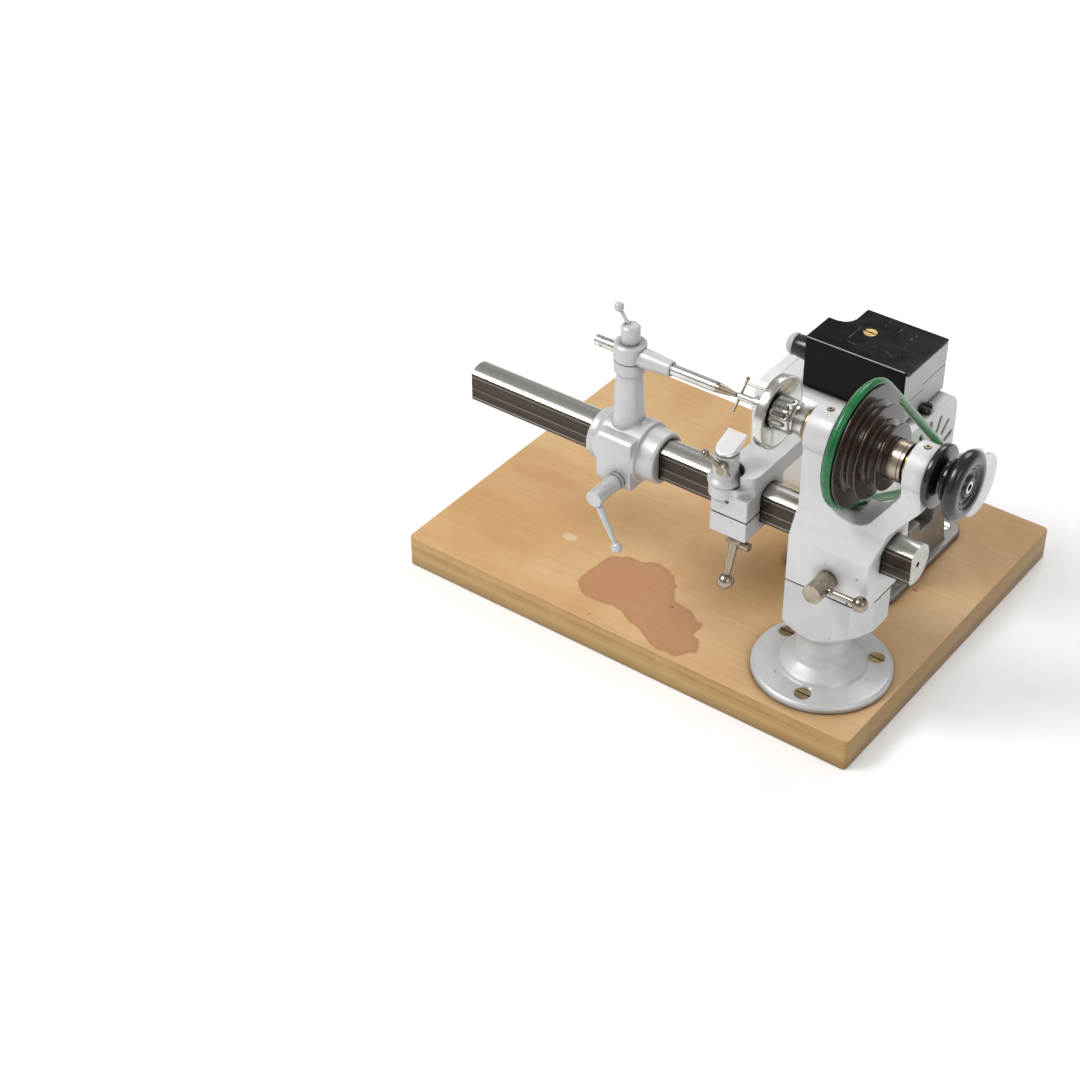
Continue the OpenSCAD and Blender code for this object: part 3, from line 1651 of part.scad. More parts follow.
base_board();
foot_pillar();
foot_screws();
pillar_stud();
bed_bar();
headstock_frame();
front_bush();
rear_bush();
oil_cups();
head_clamp_shaft();
head_clamp_lever();
spindle();
cone_pulley();
pulley_grub_screw();
front_dust_ring();
rear_dust_ring();
chuck_disc();
chuck_hub();
work_arbor();
drive_pin();
cross_bar();
lock_disc();
draw_tube();
draw_handwheel();
drive_belt();
motor_housing();
motor_left_cover();
motor_right_cover();
motor_stator();
motor_bearings();
motor_feet();
motor_feet_screws();
brush_caps();
carbon_brushes();
control_box_base();
control_box_cover();
control_box_screw();
cord_gland();
motor_shaft();
armature();
commutator();
cooling_fan();
motor_pulley();
rest_shoe_upper();
rest_shoe_lower();
rest_bolt();
rest_clamp_lever();
rest_holder();
tool_rest();
rest_post_clamp();
tail_body();
tail_clamp_shaft();
tail_clamp_lever();
tail_head();
tail_barrel();
tail_lock_cap();
tail_lock_lever();
tail_runner();
tail_point();
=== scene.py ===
import json
import math
import bpy
import bmesh
from mathutils import Matrix, Vector


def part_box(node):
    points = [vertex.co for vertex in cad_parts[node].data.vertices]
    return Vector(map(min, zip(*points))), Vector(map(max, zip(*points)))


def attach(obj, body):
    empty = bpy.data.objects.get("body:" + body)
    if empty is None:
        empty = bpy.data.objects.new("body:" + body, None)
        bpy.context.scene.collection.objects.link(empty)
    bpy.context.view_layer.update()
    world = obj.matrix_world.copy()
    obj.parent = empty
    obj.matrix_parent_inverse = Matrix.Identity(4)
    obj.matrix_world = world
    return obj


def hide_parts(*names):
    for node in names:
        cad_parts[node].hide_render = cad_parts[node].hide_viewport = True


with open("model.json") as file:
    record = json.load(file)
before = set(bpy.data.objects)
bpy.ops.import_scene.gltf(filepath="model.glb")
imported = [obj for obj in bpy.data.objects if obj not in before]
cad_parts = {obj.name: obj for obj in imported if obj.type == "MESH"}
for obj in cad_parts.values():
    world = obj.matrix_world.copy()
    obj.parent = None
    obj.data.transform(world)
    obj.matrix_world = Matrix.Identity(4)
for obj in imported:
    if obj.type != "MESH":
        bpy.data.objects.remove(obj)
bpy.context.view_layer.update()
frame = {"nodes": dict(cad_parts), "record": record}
cad = frame["nodes"]
mm = 0.001
print("frame loaded:", len(cad), "solids")


def corners(node):
    # lowest and highest corner of a solid, in millimetres
    low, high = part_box(node)
    return low / mm, high / mm


boardLow, boardHigh = corners("base_board")
bedLow, bedHigh = corners("bed_bar")
runnerLow, runnerHigh = corners("tail_runner")
shaftLow, shaftHigh = corners("motor_shaft")
boardTop = boardHigh.z
bedY = (runnerLow.y + runnerHigh.y) / 2
bedZ = (bedLow.z + bedHigh.z) / 2
spindleZ = (runnerLow.z + runnerHigh.z) / 2
motorY = (shaftLow.y + shaftHigh.y) / 2
motorZ = (shaftLow.z + shaftHigh.z) / 2

# Shader helpers


def put(tree, kind, values=None, **settings):
    # a shader node with its settings and its unlinked socket values
    made = tree.nodes.new(kind)
    for key, value in settings.items():
        setattr(made, key, value)
    for key, value in (values or {}).items():
        made.inputs[key].default_value = value
    return made


def link(tree, source, target):
    tree.links.new(source, target)


def calc(tree, operation, a, b=None, c=None, clamp=False):
    # one step of arithmetic on sockets or plain numbers
    made = put(tree, "ShaderNodeMath", operation=operation, use_clamp=clamp)
    for i, value in enumerate((a, b, c)):
        if value is None:
            continue
        if isinstance(value, (int, float)):
            made.inputs[i].default_value = value
        else:
            link(tree, value, made.inputs[i])
    return made.outputs[0]


def blendColour(tree, mask, low, high, mode="MIX"):
    made = put(tree, "ShaderNodeMix", data_type="RGBA", blend_type=mode)
    for value, spot in ((mask, 0), (low, 6), (high, 7)):
        if isinstance(value, (int, float)):
            made.inputs[spot].default_value = value
        elif isinstance(value, (tuple, list)):
            made.inputs[spot].default_value = (*value[:3], 1)
        else:
            link(tree, value, made.inputs[spot])
    return made.outputs[2]


def stepped(tree, source, low, high):
    # 0 below low, 1 above high, smooth between
    made = put(tree, "ShaderNodeMapRange", interpolation_type="SMOOTHSTEP")
    link(tree, source, made.inputs["Value"])
    made.inputs["From Min"].default_value = low
    made.inputs["From Max"].default_value = high
    return made.outputs["Result"]


def objectPlace(tree, scale=(1, 1, 1), place=(0, 0, 0), turn=(0, 0, 0)):
    # object coordinates, centred on place, turned and stretched
    spot = put(tree, "ShaderNodeTexCoord")
    made = put(tree, "ShaderNodeMapping", vector_type="TEXTURE")
    made.inputs["Location"].default_value = place
    made.inputs["Rotation"].default_value = turn
    made.inputs["Scale"].default_value = scale
    link(tree, spot.outputs["Object"], made.inputs["Vector"])
    return made.outputs["Vector"]


def noise(tree, vector, scale, detail=4, roughness=0.55, distortion=0.0):
    made = put(tree, "ShaderNodeTexNoise",
               {"Scale": scale, "Detail": detail, "Roughness": roughness, "Distortion": distortion})
    link(tree, vector, made.inputs["Vector"])
    return made.outputs["Fac"]


def newGroup(name, inputs, outputs):
    tree = bpy.data.node_groups.new(name, "ShaderNodeTree")
    for label, value in inputs.items():
        socket = tree.interface.new_socket(name=label, in_out="INPUT", socket_type="NodeSocketFloat")
        socket.default_value = value
    for label in outputs:
        tree.interface.new_socket(name=label, in_out="OUTPUT", socket_type="NodeSocketFloat")
    return tree, put(tree, "NodeGroupInput").outputs, put(tree, "NodeGroupOutput").inputs


def edgeWearGroup():
    # mask of corners that hands and tools rub bare
    tree, given, result = newGroup(
        "edgeWear", {"Radius": 0.0006, "Grain": 400.0, "Amount": 0.5}, ["Mask"])
    soft = put(tree, "ShaderNodeBevel", samples=4)
    link(tree, given["Radius"], soft.inputs["Radius"])
    flat = put(tree, "ShaderNodeNewGeometry")
    dot = put(tree, "ShaderNodeVectorMath", operation="DOT_PRODUCT")
    link(tree, soft.outputs["Normal"], dot.inputs[0])
    link(tree, flat.outputs["Normal"], dot.inputs[1])
    bend = calc(tree, "SUBTRACT", 1.0, dot.outputs["Value"])
    spot = objectPlace(tree)
    grain = noise(tree, spot, 1.0, 3)
    link(tree, given["Grain"], grain.node.inputs["Scale"])
    worn = calc(tree, "MULTIPLY", stepped(tree, bend, 0.03, 0.14), stepped(tree, grain, 0.38, 0.62))
    link(tree, calc(tree, "MULTIPLY", worn, given["Amount"], clamp=True), result["Mask"])
    return tree


def chipsGroup():
    # mask of small chips and scratches in paint
    tree, given, result = newGroup("paintChips", {"Scale": 120.0, "Threshold": 0.72}, ["Mask"])
    spot = objectPlace(tree)
    coarse = noise(tree, spot, 1.0, 5, 0.7)
    link(tree, given["Scale"], coarse.node.inputs["Scale"])
    above = calc(tree, "SUBTRACT", coarse, given["Threshold"])
    link(tree, stepped(tree, above, 0.0, 0.012), result["Mask"])
    return tree


def grimeAndShadeGroup():
    # painted shade in corners from ambient occlusion, with oil and dust there too, and slow changes over a
    # surface
    tree, given, result = newGroup("grimeAndShade", {"Reach": 0.004, "Scale": 60.0}, ["Corners", "Clouds"])
    shade = put(tree, "ShaderNodeAmbientOcclusion", samples=4)
    link(tree, given["Reach"], shade.inputs["Distance"])
    spot = objectPlace(tree)
    cloud = noise(tree, spot, 1.0, 4, 0.6, 0.4)
    link(tree, given["Scale"], cloud.node.inputs["Scale"])
    # one minus ambient occlusion: painted shade in corners and gaps
    deep = calc(tree, "SUBTRACT", 1.0, shade.outputs["AO"], clamp=True)
    uneven = calc(tree, "ADD", cloud, 0.35)
    link(tree, calc(tree, "MULTIPLY", deep, uneven, clamp=True), result["Corners"])
    link(tree, stepped(tree, cloud, 0.3, 0.7), result["Clouds"])
    return tree


def ringsGroup():
    # fine turning marks round an axis along X at the given height and depth
    tree, given, result = newGroup(
        "turnedRings", {"Depth": bedY * mm, "Height": spindleZ * mm, "Fineness": 900.0}, ["Rings"])
    spot = put(tree, "ShaderNodeTexCoord")
    apart = put(tree, "ShaderNodeSeparateXYZ")
    link(tree, spot.outputs["Object"], apart.inputs[0])
    dy = calc(tree, "SUBTRACT", apart.outputs["Y"], given["Depth"])
    dz = calc(tree, "SUBTRACT", apart.outputs["Z"], given["Height"])
    square = calc(tree, "ADD", calc(tree, "MULTIPLY", dy, dy), calc(tree, "MULTIPLY", dz, dz))
    radius = calc(tree, "SQRT", square)
    joined = put(tree, "ShaderNodeCombineXYZ")
    link(tree, apart.outputs["X"], joined.inputs[0])
    link(tree, radius, joined.inputs[1])
    rings = noise(tree, joined.outputs[0], 1.0, 1.5, 0.5)
    link(tree, given["Fineness"], rings.node.inputs["Scale"])
    link(tree, rings, result["Rings"])
    return tree


def streaksGroup():
    # long fine lines along X, as on ground or drawn bar
    tree, given, result = newGroup("drawnStreaks", {"Scale": 1.0}, ["Lines"])
    spot = objectPlace(tree, scale=(0.16, 0.0022, 0.0022))
    lines = noise(tree, spot, 1.0, 2, 0.5)
    link(tree, given["Scale"], lines.node.inputs["Scale"])
    link(tree, stepped(tree, lines, 0.3, 0.7), result["Lines"])
    return tree


groups = {
    "edges": edgeWearGroup(), "chips": chipsGroup(), "grimeAndShade": grimeAndShadeGroup(),
    "rings": ringsGroup(), "streaks": streaksGroup(),
}


def use(tree, name, **values):
    made = put(tree, "ShaderNodeGroup", node_tree=groups[name])
    for key, value in values.items():
        made.inputs[key].default_value = value
    return made.outputs


def startMaterial(name, roughness=0.5, metallic=0.0, coat=0.0, specular=0.5):
    made = bpy.data.materials.new(name)
    made.use_nodes = True
    tree = made.node_tree
    shader = tree.nodes["Principled BSDF"]
    shader.inputs["Roughness"].default_value = roughness
    shader.inputs["Metallic"].default_value = metallic
    shader.inputs["Coat Weight"].default_value = coat
    shader.inputs["Coat Roughness"].default_value = 0.12
    shader.inputs["Specular IOR Level"].default_value = specular
    return made, tree, shader


def roughen(tree, shader, height, strength, distance):
    # bump from a height
    bump = put(tree, "ShaderNodeBump", {"Strength": strength, "Distance": distance})
    link(tree, height, bump.inputs["Height"])
    link(tree, bump.outputs["Normal"], shader.inputs["Normal"])


def varyRoughness(tree, shader, mask, span, low):
    # low where the mask is 0, more by span where it is 1
    link(tree, calc(tree, "MULTIPLY_ADD", mask, span, low), shader.inputs["Roughness"])


def darkCorners(tree, base, dirtAndShade, amount, colour):
    # painted shade, with oil and dust, over a colour where ambient occlusion finds a corner
    corner = calc(tree, "MULTIPLY", dirtAndShade["Corners"], amount, clamp=True)
    return blendColour(tree, corner, base, colour)


def axisPart(tree, vector, axis):
    apart = put(tree, "ShaderNodeSeparateXYZ")
    link(tree, vector, apart.inputs[0])
    return apart.outputs[axis]


def normalPart(tree, axis):
    return axisPart(tree, put(tree, "ShaderNodeNewGeometry").outputs["Normal"], axis)


def placePart(tree, axis):
    return axisPart(tree, put(tree, "ShaderNodeTexCoord").outputs["Object"], axis)


# Materials


def paint(name, colour, aged, bare, chip=(0.1, 0.09, 0.085), dust=(0.13, 0.115, 0.1), roughness=0.42,
          metallic=0.2, chipLevel=0.72, chipSize=90.0, wear=0.5, grimeAndShadeAmount=1.1):
    # enamel on a casting: clouded, chipped, rubbed on the corners, with painted shade and dust in the
    # corners
    made, tree, shader = startMaterial(name, roughness, metallic)
    dirtAndShade = use(tree, "grimeAndShade", Reach=0.006, Scale=50.0)
    chips = use(tree, "chips", Scale=chipSize, Threshold=chipLevel)["Mask"]
    small = use(tree, "chips", Scale=chipSize * 3.2, Threshold=chipLevel + 0.02)["Mask"]
    rubbed = use(tree, "edges", Radius=0.0007, Grain=330.0, Amount=wear)["Mask"]
    base = blendColour(tree, calc(tree, "MULTIPLY", dirtAndShade["Clouds"], 0.5), colour, aged)
    # the dust colour in corners and gaps, from ambient occlusion: painted shade and dust
    base = darkCorners(tree, base, dirtAndShade, grimeAndShadeAmount, dust)
    base = blendColour(tree, rubbed, base, bare)
    base = blendColour(tree, calc(tree, "MULTIPLY", chips, 0.85), base, chip)
    base = blendColour(tree, calc(tree, "MULTIPLY", small, 0.6), base, tuple(2.5 * c for c in chip))
    link(tree, base, shader.inputs["Base Color"])
    peel = noise(tree, objectPlace(tree), 650.0, 2)
    varyRoughness(tree, shader, dirtAndShade["Clouds"], 0.14, roughness - 0.07)
    relief = calc(tree, "SUBTRACT", peel, calc(tree, "MULTIPLY", chips, 1.5))
    roughen(tree, shader, relief, 0.14, 0.0003)
    return made


def turnedSteel(name, colour, stain, roughness=0.25, ringBump=0.2, stainAmount=0.5, dirtScale=90.0,
                height=spindleZ, depth=bedY, grimeAndShade=(0.05, 0.04, 0.03), edge=(0.86, 0.85, 0.82)):
    # steel off the lathe: rings, oil clouds, painted shade and oil in the corners, bright edges
    made, tree, shader = startMaterial(name, roughness, 1.0)
    rings = use(tree, "rings", Height=height * mm, Depth=depth * mm, Fineness=650.0)["Rings"]
    dirtAndShade = use(tree, "grimeAndShade", Reach=0.004, Scale=dirtScale)
    rubbed = use(tree, "edges", Radius=0.0005, Grain=500.0, Amount=0.8)["Mask"]
    base = blendColour(tree, calc(tree, "MULTIPLY", dirtAndShade["Clouds"], stainAmount), colour, stain)
    base = blendColour(tree, calc(tree, "MULTIPLY", rings, 0.3), base, (1, 1, 1), "OVERLAY")
    # painted shade and grime in corners, from ambient occlusion
    base = darkCorners(tree, base, dirtAndShade, 1.4, grimeAndShade)
    base = blendColour(tree, rubbed, base, edge)
    link(tree, base, shader.inputs["Base Color"])
    varyRoughness(tree, shader, rings, 0.16, roughness - 0.08)
    roughen(tree, shader, rings, ringBump, 0.00012)
    return made


def drawnSteel(name, colour, flat, oil, lightStreaksAndHighlights, lines, grimeAndShade=(0.03, 0.025, 0.02), roughness=0.3):
    # round bar, bright on top; the flat is painted nearly black as a dark reflection, with a few painted
    # highlight lines
    made, tree, shader = startMaterial(name, roughness, 1.0)
    fine = use(tree, "streaks", Scale=1.0)["Lines"]
    broad = use(tree, "streaks", Scale=0.4)["Lines"]
    dirtAndShade = use(tree, "grimeAndShade", Reach=0.004, Scale=35.0)
    base = blendColour(tree, calc(tree, "MULTIPLY", fine, 0.3), colour, oil)
    base = blendColour(tree, calc(tree, "MULTIPLY", broad, 0.3), base, lightStreaksAndHighlights)
    # the flat facing the front is painted nearly black: a painted dark reflection
    reflectionOnFlat = stepped(tree, calc(tree, "MULTIPLY", normalPart(tree, "Y"), -1.0), 0.9, 0.99)
    height = placePart(tree, "Z")
    flatReflection = blendColour(tree, calc(tree, "MULTIPLY", broad, 0.35), flat, oil)
    # light lines at given heights on the flat: painted highlight lines
    for level, thick in lines:
        away = calc(tree, "ABSOLUTE", calc(tree, "SUBTRACT", height, (bedZ + level) * mm))
        near = calc(tree, "SUBTRACT", 1.0, stepped(tree, away, thick * 0.5 * mm, thick * mm))
        broken = calc(tree, "MULTIPLY_ADD", fine, 0.3, 0.06)
        flatReflection = blendColour(tree, calc(tree, "MULTIPLY", near, broken), flatReflection, lightStreaksAndHighlights)
    base = blendColour(tree, reflectionOnFlat, base, flatReflection)
    # painted shade and grime in corners, from ambient occlusion
    base = darkCorners(tree, base, dirtAndShade, 1.3, grimeAndShade)
    link(tree, base, shader.inputs["Base Color"])
    varyRoughness(tree, shader, fine, 0.14, roughness - 0.06)
    roughen(tree, shader, fine, 0.08, 0.0002)
    return made


def resin(name, colour, worn, roughness=0.28, wear=0.5, fineness=700.0, coat=0.0, specular=0.5,
          radius=0.0009, cloudy=1.5, ringBump=0.08):
    # turned or moulded resin, shiny where it is handled, with painted shade and grime in its corners
    made, tree, shader = startMaterial(name, roughness, 0.0, coat, specular)
    rings = use(tree, "rings", Fineness=fineness)["Rings"]
    dirtAndShade = use(tree, "grimeAndShade", Reach=0.003, Scale=70.0)
    rubbed = use(tree, "edges", Radius=radius, Grain=260.0, Amount=wear)["Mask"]
    cloud = calc(tree, "MULTIPLY", dirtAndShade["Clouds"], 0.45)
    base = blendColour(tree, cloud, colour, tuple(cloudy * c for c in colour))
    base = blendColour(tree, rubbed, base, worn)
    # painted shade and grime in corners, from ambient occlusion
    base = darkCorners(tree, base, dirtAndShade, 0.7, tuple(0.35 * c for c in colour))
    link(tree, base, shader.inputs["Base Color"])
    varyRoughness(tree, shader, dirtAndShade["Clouds"], 0.14, roughness - 0.05)
    roughen(tree, shader, rings, ringBump, 0.00015)
    return made


boardColours = {
    "colour": (0.62, 0.36, 0.155), "light": (0.72, 0.475, 0.235), "grain": (0.52, 0.27, 0.105),
    "stain": (0.42, 0.17, 0.075), "rim": (0.34, 0.125, 0.055),
    "sideLight": (0.60, 0.39, 0.15), "sideDark": (0.42, 0.235, 0.08), "shadedRightSide": (0.33, 0.2, 0.08),
    "bare": (0.74, 0.55, 0.28), "dirtAndShade": (0.14, 0.075, 0.035),
}
boardMarks = {
    "stains": [((-17, -76), (31, 24), 0.15), ((14, -90), (31, 17), -0.5)],
    "spots": [
        ((-72.7, -60.1), (5.0, 3.6), (0.82, 0.68, 0.46), 0.5),
        ((12.1, -77.9), (1.6, 1.2), (0.2, 0.08, 0.04), 0.8),
        ((4.8, 22.9), (1.6, 1.3), (0.2, 0.1, 0.05), 0.7),
        ((115.0, 17.6), (1.8, 1.4), (0.2, 0.1, 0.05), 0.7),
        # painted shadow of the motor and its foot on the board
        ((103, 22), (9, 20), (0.42, 0.13, 0.04), 0.6),
        ((-120, -20), (30, 9), (0.5, 0.25, 0.09), 0.25),
        ((-95, -85), (26, 8), (0.52, 0.26, 0.1), 0.25),
    ],
}


def patch(tree, spot, size, turn, wander, amount):
    # distance from the middle of a spot on the board, 1 at its wandering edge
    length = put(tree, "ShaderNodeVectorMath", operation="LENGTH")
    middle = (spot[0] * mm, spot[1] * mm, boardTop * mm)
    place = objectPlace(tree, (size[0] * mm, size[1] * mm, 1), middle, (0, 0, turn))
    link(tree, place, length.inputs[0])
    wave = calc(tree, "MULTIPLY_ADD", wander, amount, -0.5 * amount)
    return calc(tree, "ADD", length.outputs["Value"], wave)


def board(name):
    # varnished plywood: fine grain, a darker oil stain, marks and a painted shadow of the motor, plies on
    # the sides, painted shade on the right side and in the corners
    made, tree, shader = startMaterial(name, 0.4, specular=0.35)
    colours = boardColours
    fine = noise(tree, objectPlace(tree, scale=(0.22, 0.02, 0.02)), 6.0, 6, 0.7)
    broad = noise(tree, objectPlace(tree), 12.0, 3, 0.6, 0.8)
    fleck = noise(tree, objectPlace(tree), 420.0, 3, 0.6)
    top = blendColour(tree, stepped(tree, broad, 0.3, 0.72), colours["colour"], colours["light"])
    grain = calc(tree, "MULTIPLY", stepped(tree, fine, 0.46, 0.75), 0.4)
    top = blendColour(tree, grain, top, colours["grain"])
    wander = noise(tree, objectPlace(tree), 42.0, 2.5, 0.5, 0.3)
    edges = [patch(tree, at, size, turn, wander, 0.9) for at, size, turn in boardMarks["stains"]]
    edge = calc(tree, "MINIMUM", *edges)
    inside = calc(tree, "SUBTRACT", 1.0, stepped(tree, edge, 0.95, 1.03))
    ring = calc(tree, "MULTIPLY", inside, stepped(tree, edge, 0.84, 1.0))
    stained = calc(tree, "MULTIPLY", inside, calc(tree, "MULTIPLY_ADD", broad, 0.3, 0.5))
    top = blendColour(tree, stained, top, colours["stain"])
    top = blendColour(tree, calc(tree, "MULTIPLY", ring, 0.3), top, colours["rim"])
    for at, size, colour, amount in boardMarks["spots"]:
        near = patch(tree, at, size, 0, wander, 1.2)
        mask = calc(tree, "SUBTRACT", 1.0, stepped(tree, near, 0.6, 1.1))
        top = blendColour(tree, calc(tree, "MULTIPLY", mask, amount), top, colour)
    specks = use(tree, "chips", Scale=75.0, Threshold=0.74)["Mask"]
    top = blendColour(tree, calc(tree, "MULTIPLY", specks, 0.75), top, colours["dirtAndShade"])
    ply = noise(tree, objectPlace(tree, scale=(0.5, 0.5, 0.006)), 1.0, 2, 0.5)
    blotch = noise(tree, objectPlace(tree, scale=(0.02, 0.02, 0.012)), 1.0, 5, 0.75)
    side = blendColour(tree, stepped(tree, ply, 0.36, 0.66), colours["sideLight"], colours["sideDark"])
    mottle = calc(tree, "MULTIPLY", stepped(tree, blotch, 0.35, 0.7), 0.65)
    side = blendColour(tree, mottle, side, colours["sideLight"])
    # the side facing +X is painted darker: painted shade
    shadeOnRightSide = stepped(tree, normalPart(tree, "X"), 0.5, 0.9)
    side = blendColour(tree, calc(tree, "MULTIPLY", shadeOnRightSide, 0.6), side, colours["shadedRightSide"])
    blots = use(tree, "chips", Scale=38.0, Threshold=0.66)["Mask"]
    side = blendColour(tree, calc(tree, "MULTIPLY", blots, 0.6), side, colours["dirtAndShade"])
    base = blendColour(tree, stepped(tree, normalPart(tree, "Z"), 0.35, 0.75), side, top)
    rubbed = use(tree, "edges", Radius=0.0016, Grain=120.0, Amount=0.75)["Mask"]
    base = blendColour(tree, rubbed, base, colours["bare"])
    # painted shade and dirt in corners, from ambient occlusion
    dirtAndShade = use(tree, "grimeAndShade", Reach=0.012, Scale=30.0)
    base = darkCorners(tree, base, dirtAndShade, 1.1, colours["dirtAndShade"])
    link(tree, base, shader.inputs["Base Color"])
    varyRoughness(tree, shader, fine, 0.25, 0.3)
    relief = calc(tree, "ADD", fine, calc(tree, "MULTIPLY", fleck, 0.4))
    roughen(tree, shader, relief, 0.1, 0.0004)
    return made


def lacedCore(name, colour, wire):
    # stacked sheets with varnished wire
    made, tree, shader = startMaterial(name, 0.45, 0.6)
    sheets = noise(tree, objectPlace(tree, scale=(0.0012, 0.2, 0.2)), 1.0, 2)
    base = blendColour(tree, stepped(tree, sheets, 0.4, 0.6), colour, wire)
    link(tree, base, shader.inputs["Base Color"])
    roughen(tree, shader, sheets, 0.2, 0.0003)
    return made


def elastic(name, colour, light, deep):
    # green round belt, slightly dusty, with painted shade and grime in its corners
    made, tree, shader = startMaterial(name, 0.3, 0.0, 0.25)
    dirtAndShade = use(tree, "grimeAndShade", Reach=0.003, Scale=120.0)
    base = blendColour(tree, dirtAndShade["Clouds"], colour, light)
    # the deep colour where ambient occlusion finds corners: painted shade and grime
    base = darkCorners(tree, base, dirtAndShade, 1.1, deep)
    link(tree, base, shader.inputs["Base Color"])
    dust = noise(tree, objectPlace(tree), 900.0, 2)
    varyRoughness(tree, shader, dust, 0.18, 0.2)
    roughen(tree, shader, dust, 0.06, 0.0002)
    return made


recipes = {
    "plywood": (board, {}),
    "silver_paint": (paint, {
        "colour": (0.66, 0.665, 0.67), "aged": (0.55, 0.55, 0.54), "bare": (0.76, 0.76, 0.75),
        "metallic": 0.3, "chipLevel": 0.7, "wear": 0.45, "grimeAndShadeAmount": 1.5,
    }),
    "white_paint": (paint, {
        "colour": (0.76, 0.765, 0.77), "aged": (0.66, 0.66, 0.65), "bare": (0.5, 0.49, 0.47),
        "metallic": 0.12, "chipLevel": 0.672, "chipSize": 80.0, "wear": 0.4, "grimeAndShadeAmount": 1.4,
    }),
    # strong painted shade and grime in the corners and vent slots
    "motor_paint": (paint, {
        "colour": (0.84, 0.845, 0.83), "aged": (0.76, 0.76, 0.73), "bare": (0.6, 0.6, 0.58),
        "metallic": 0.05, "wear": 0.3, "grimeAndShadeAmount": 2.2,
    }),
    "grey_casting": (paint, {
        "colour": (0.3, 0.295, 0.28), "aged": (0.2, 0.185, 0.16), "bare": (0.5, 0.49, 0.46),
        "metallic": 0.6, "chipLevel": 0.7, "wear": 0.6,
    }),
    "cast_aluminium": (turnedSteel, {
        "colour": (0.66, 0.67, 0.66), "stain": (0.5, 0.5, 0.48), "roughness": 0.4, "ringBump": 0.3,
        "height": motorZ, "depth": motorY,
    }),
    # the flat colour is a painted dark reflection, and the light lines on it are painted highlights
    "bed_steel": (drawnSteel, {
        "colour": (0.52, 0.5, 0.46), "flat": (0.045, 0.038, 0.03), "oil": (0.16, 0.125, 0.09),
        "lightStreaksAndHighlights": (0.72, 0.7, 0.66), "lines": [(6.4, 0.5), (-1.5, 0.35), (-7.2, 0.6)], "roughness": 0.25,
    }),
    "bright_steel": (turnedSteel, {
        "colour": (0.7, 0.69, 0.66), "stain": (0.36, 0.3, 0.23), "roughness": 0.22,
    }),
    "polished_steel": (turnedSteel, {
        "colour": (0.97, 0.97, 0.96), "stain": (0.88, 0.87, 0.85), "roughness": 0.46, "ringBump": 0.05,
        "stainAmount": 0.3,
    }),
    "dark_steel": (turnedSteel, {
        "colour": (0.4, 0.36, 0.29), "stain": (0.17, 0.135, 0.095), "roughness": 0.26, "ringBump": 0.12,
        "stainAmount": 0.7,
    }),
    "bronzed_steel": (turnedSteel, {
        "colour": (0.42, 0.36, 0.28), "stain": (0.2, 0.15, 0.1), "roughness": 0.28, "ringBump": 0.12,
        "stainAmount": 0.65,
    }),
    # pale rubbed rims: wear, and painted highlights on the rims
    "brown_pulley": (resin, {
        "colour": (0.036, 0.02, 0.013), "worn": (0.42, 0.33, 0.25), "roughness": 0.22, "wear": 0.8,
        "fineness": 500.0, "coat": 0.35, "radius": 0.0006,
    }),
    "black_plastic": (resin, {
        "colour": (0.012, 0.0095, 0.009), "worn": (0.13, 0.12, 0.11), "roughness": 0.2, "wear": 0.4,
        "coat": 0.3,
    }),
    "black_gloss": (resin, {
        "colour": (0.0035, 0.0035, 0.004), "worn": (0.5, 0.5, 0.52), "roughness": 0.16, "wear": 0.55,
        "fineness": 260.0, "specular": 0.12, "radius": 0.0005, "ringBump": 0.02,
    }),
    "grey_plastic": (resin, {
        "colour": (0.52, 0.52, 0.53), "worn": (0.72, 0.72, 0.73), "roughness": 0.38, "wear": 0.3,
        "fineness": 300.0, "cloudy": 1.2,
    }),
    "green_belt": (elastic, {
        # deep: painted shade and grime in the belt's corners
        "colour": (0.004, 0.125, 0.035), "light": (0.007, 0.2, 0.055), "deep": (0.001, 0.02, 0.007),
    }),
    "brass": (turnedSteel, {
        "colour": (0.78, 0.53, 0.2), "stain": (0.4, 0.26, 0.1), "roughness": 0.24,
        "edge": (0.95, 0.75, 0.4),
    }),
    "screw_brass": (turnedSteel, {
        "colour": (0.4, 0.31, 0.17), "stain": (0.17, 0.12, 0.065), "roughness": 0.36, "ringBump": 0.1,
        "stainAmount": 0.8, "edge": (0.62, 0.52, 0.33),
    }),
    "bronze": (turnedSteel, {
        "colour": (0.62, 0.42, 0.24), "stain": (0.4, 0.25, 0.14), "roughness": 0.34,
    }),
    "core_steel": (lacedCore, {"colour": (0.3, 0.3, 0.32), "wire": (0.2, 0.2, 0.21)}),
    "copper_core": (lacedCore, {"colour": (0.42, 0.2, 0.1), "wire": (0.3, 0.3, 0.3)}),
    "carbon": (resin, {"colour": (0.03, 0.03, 0.03), "worn": (0.08, 0.08, 0.08), "roughness": 0.6}),
}
finishes = {slot: maker(slot, **values) for slot, (maker, values) in recipes.items()}
slotOf = {row["node"]: row["material_slot"] for row in frame["record"]["subparts"]}
bodyOf = {}
for bodyName, members in frame["record"]["behaviour"]["bodies"].items():
    for member in members:
        bodyOf[member] = bodyName
print("materials made:", len(finishes))

for nodeName, solid in cad.items():
    finish = finishes[slotOf[nodeName]]
    if not solid.material_slots:
        solid.data.materials.append(finish)
    for materialSlot in solid.material_slots:
        materialSlot.material = finish

# Mesh helpers


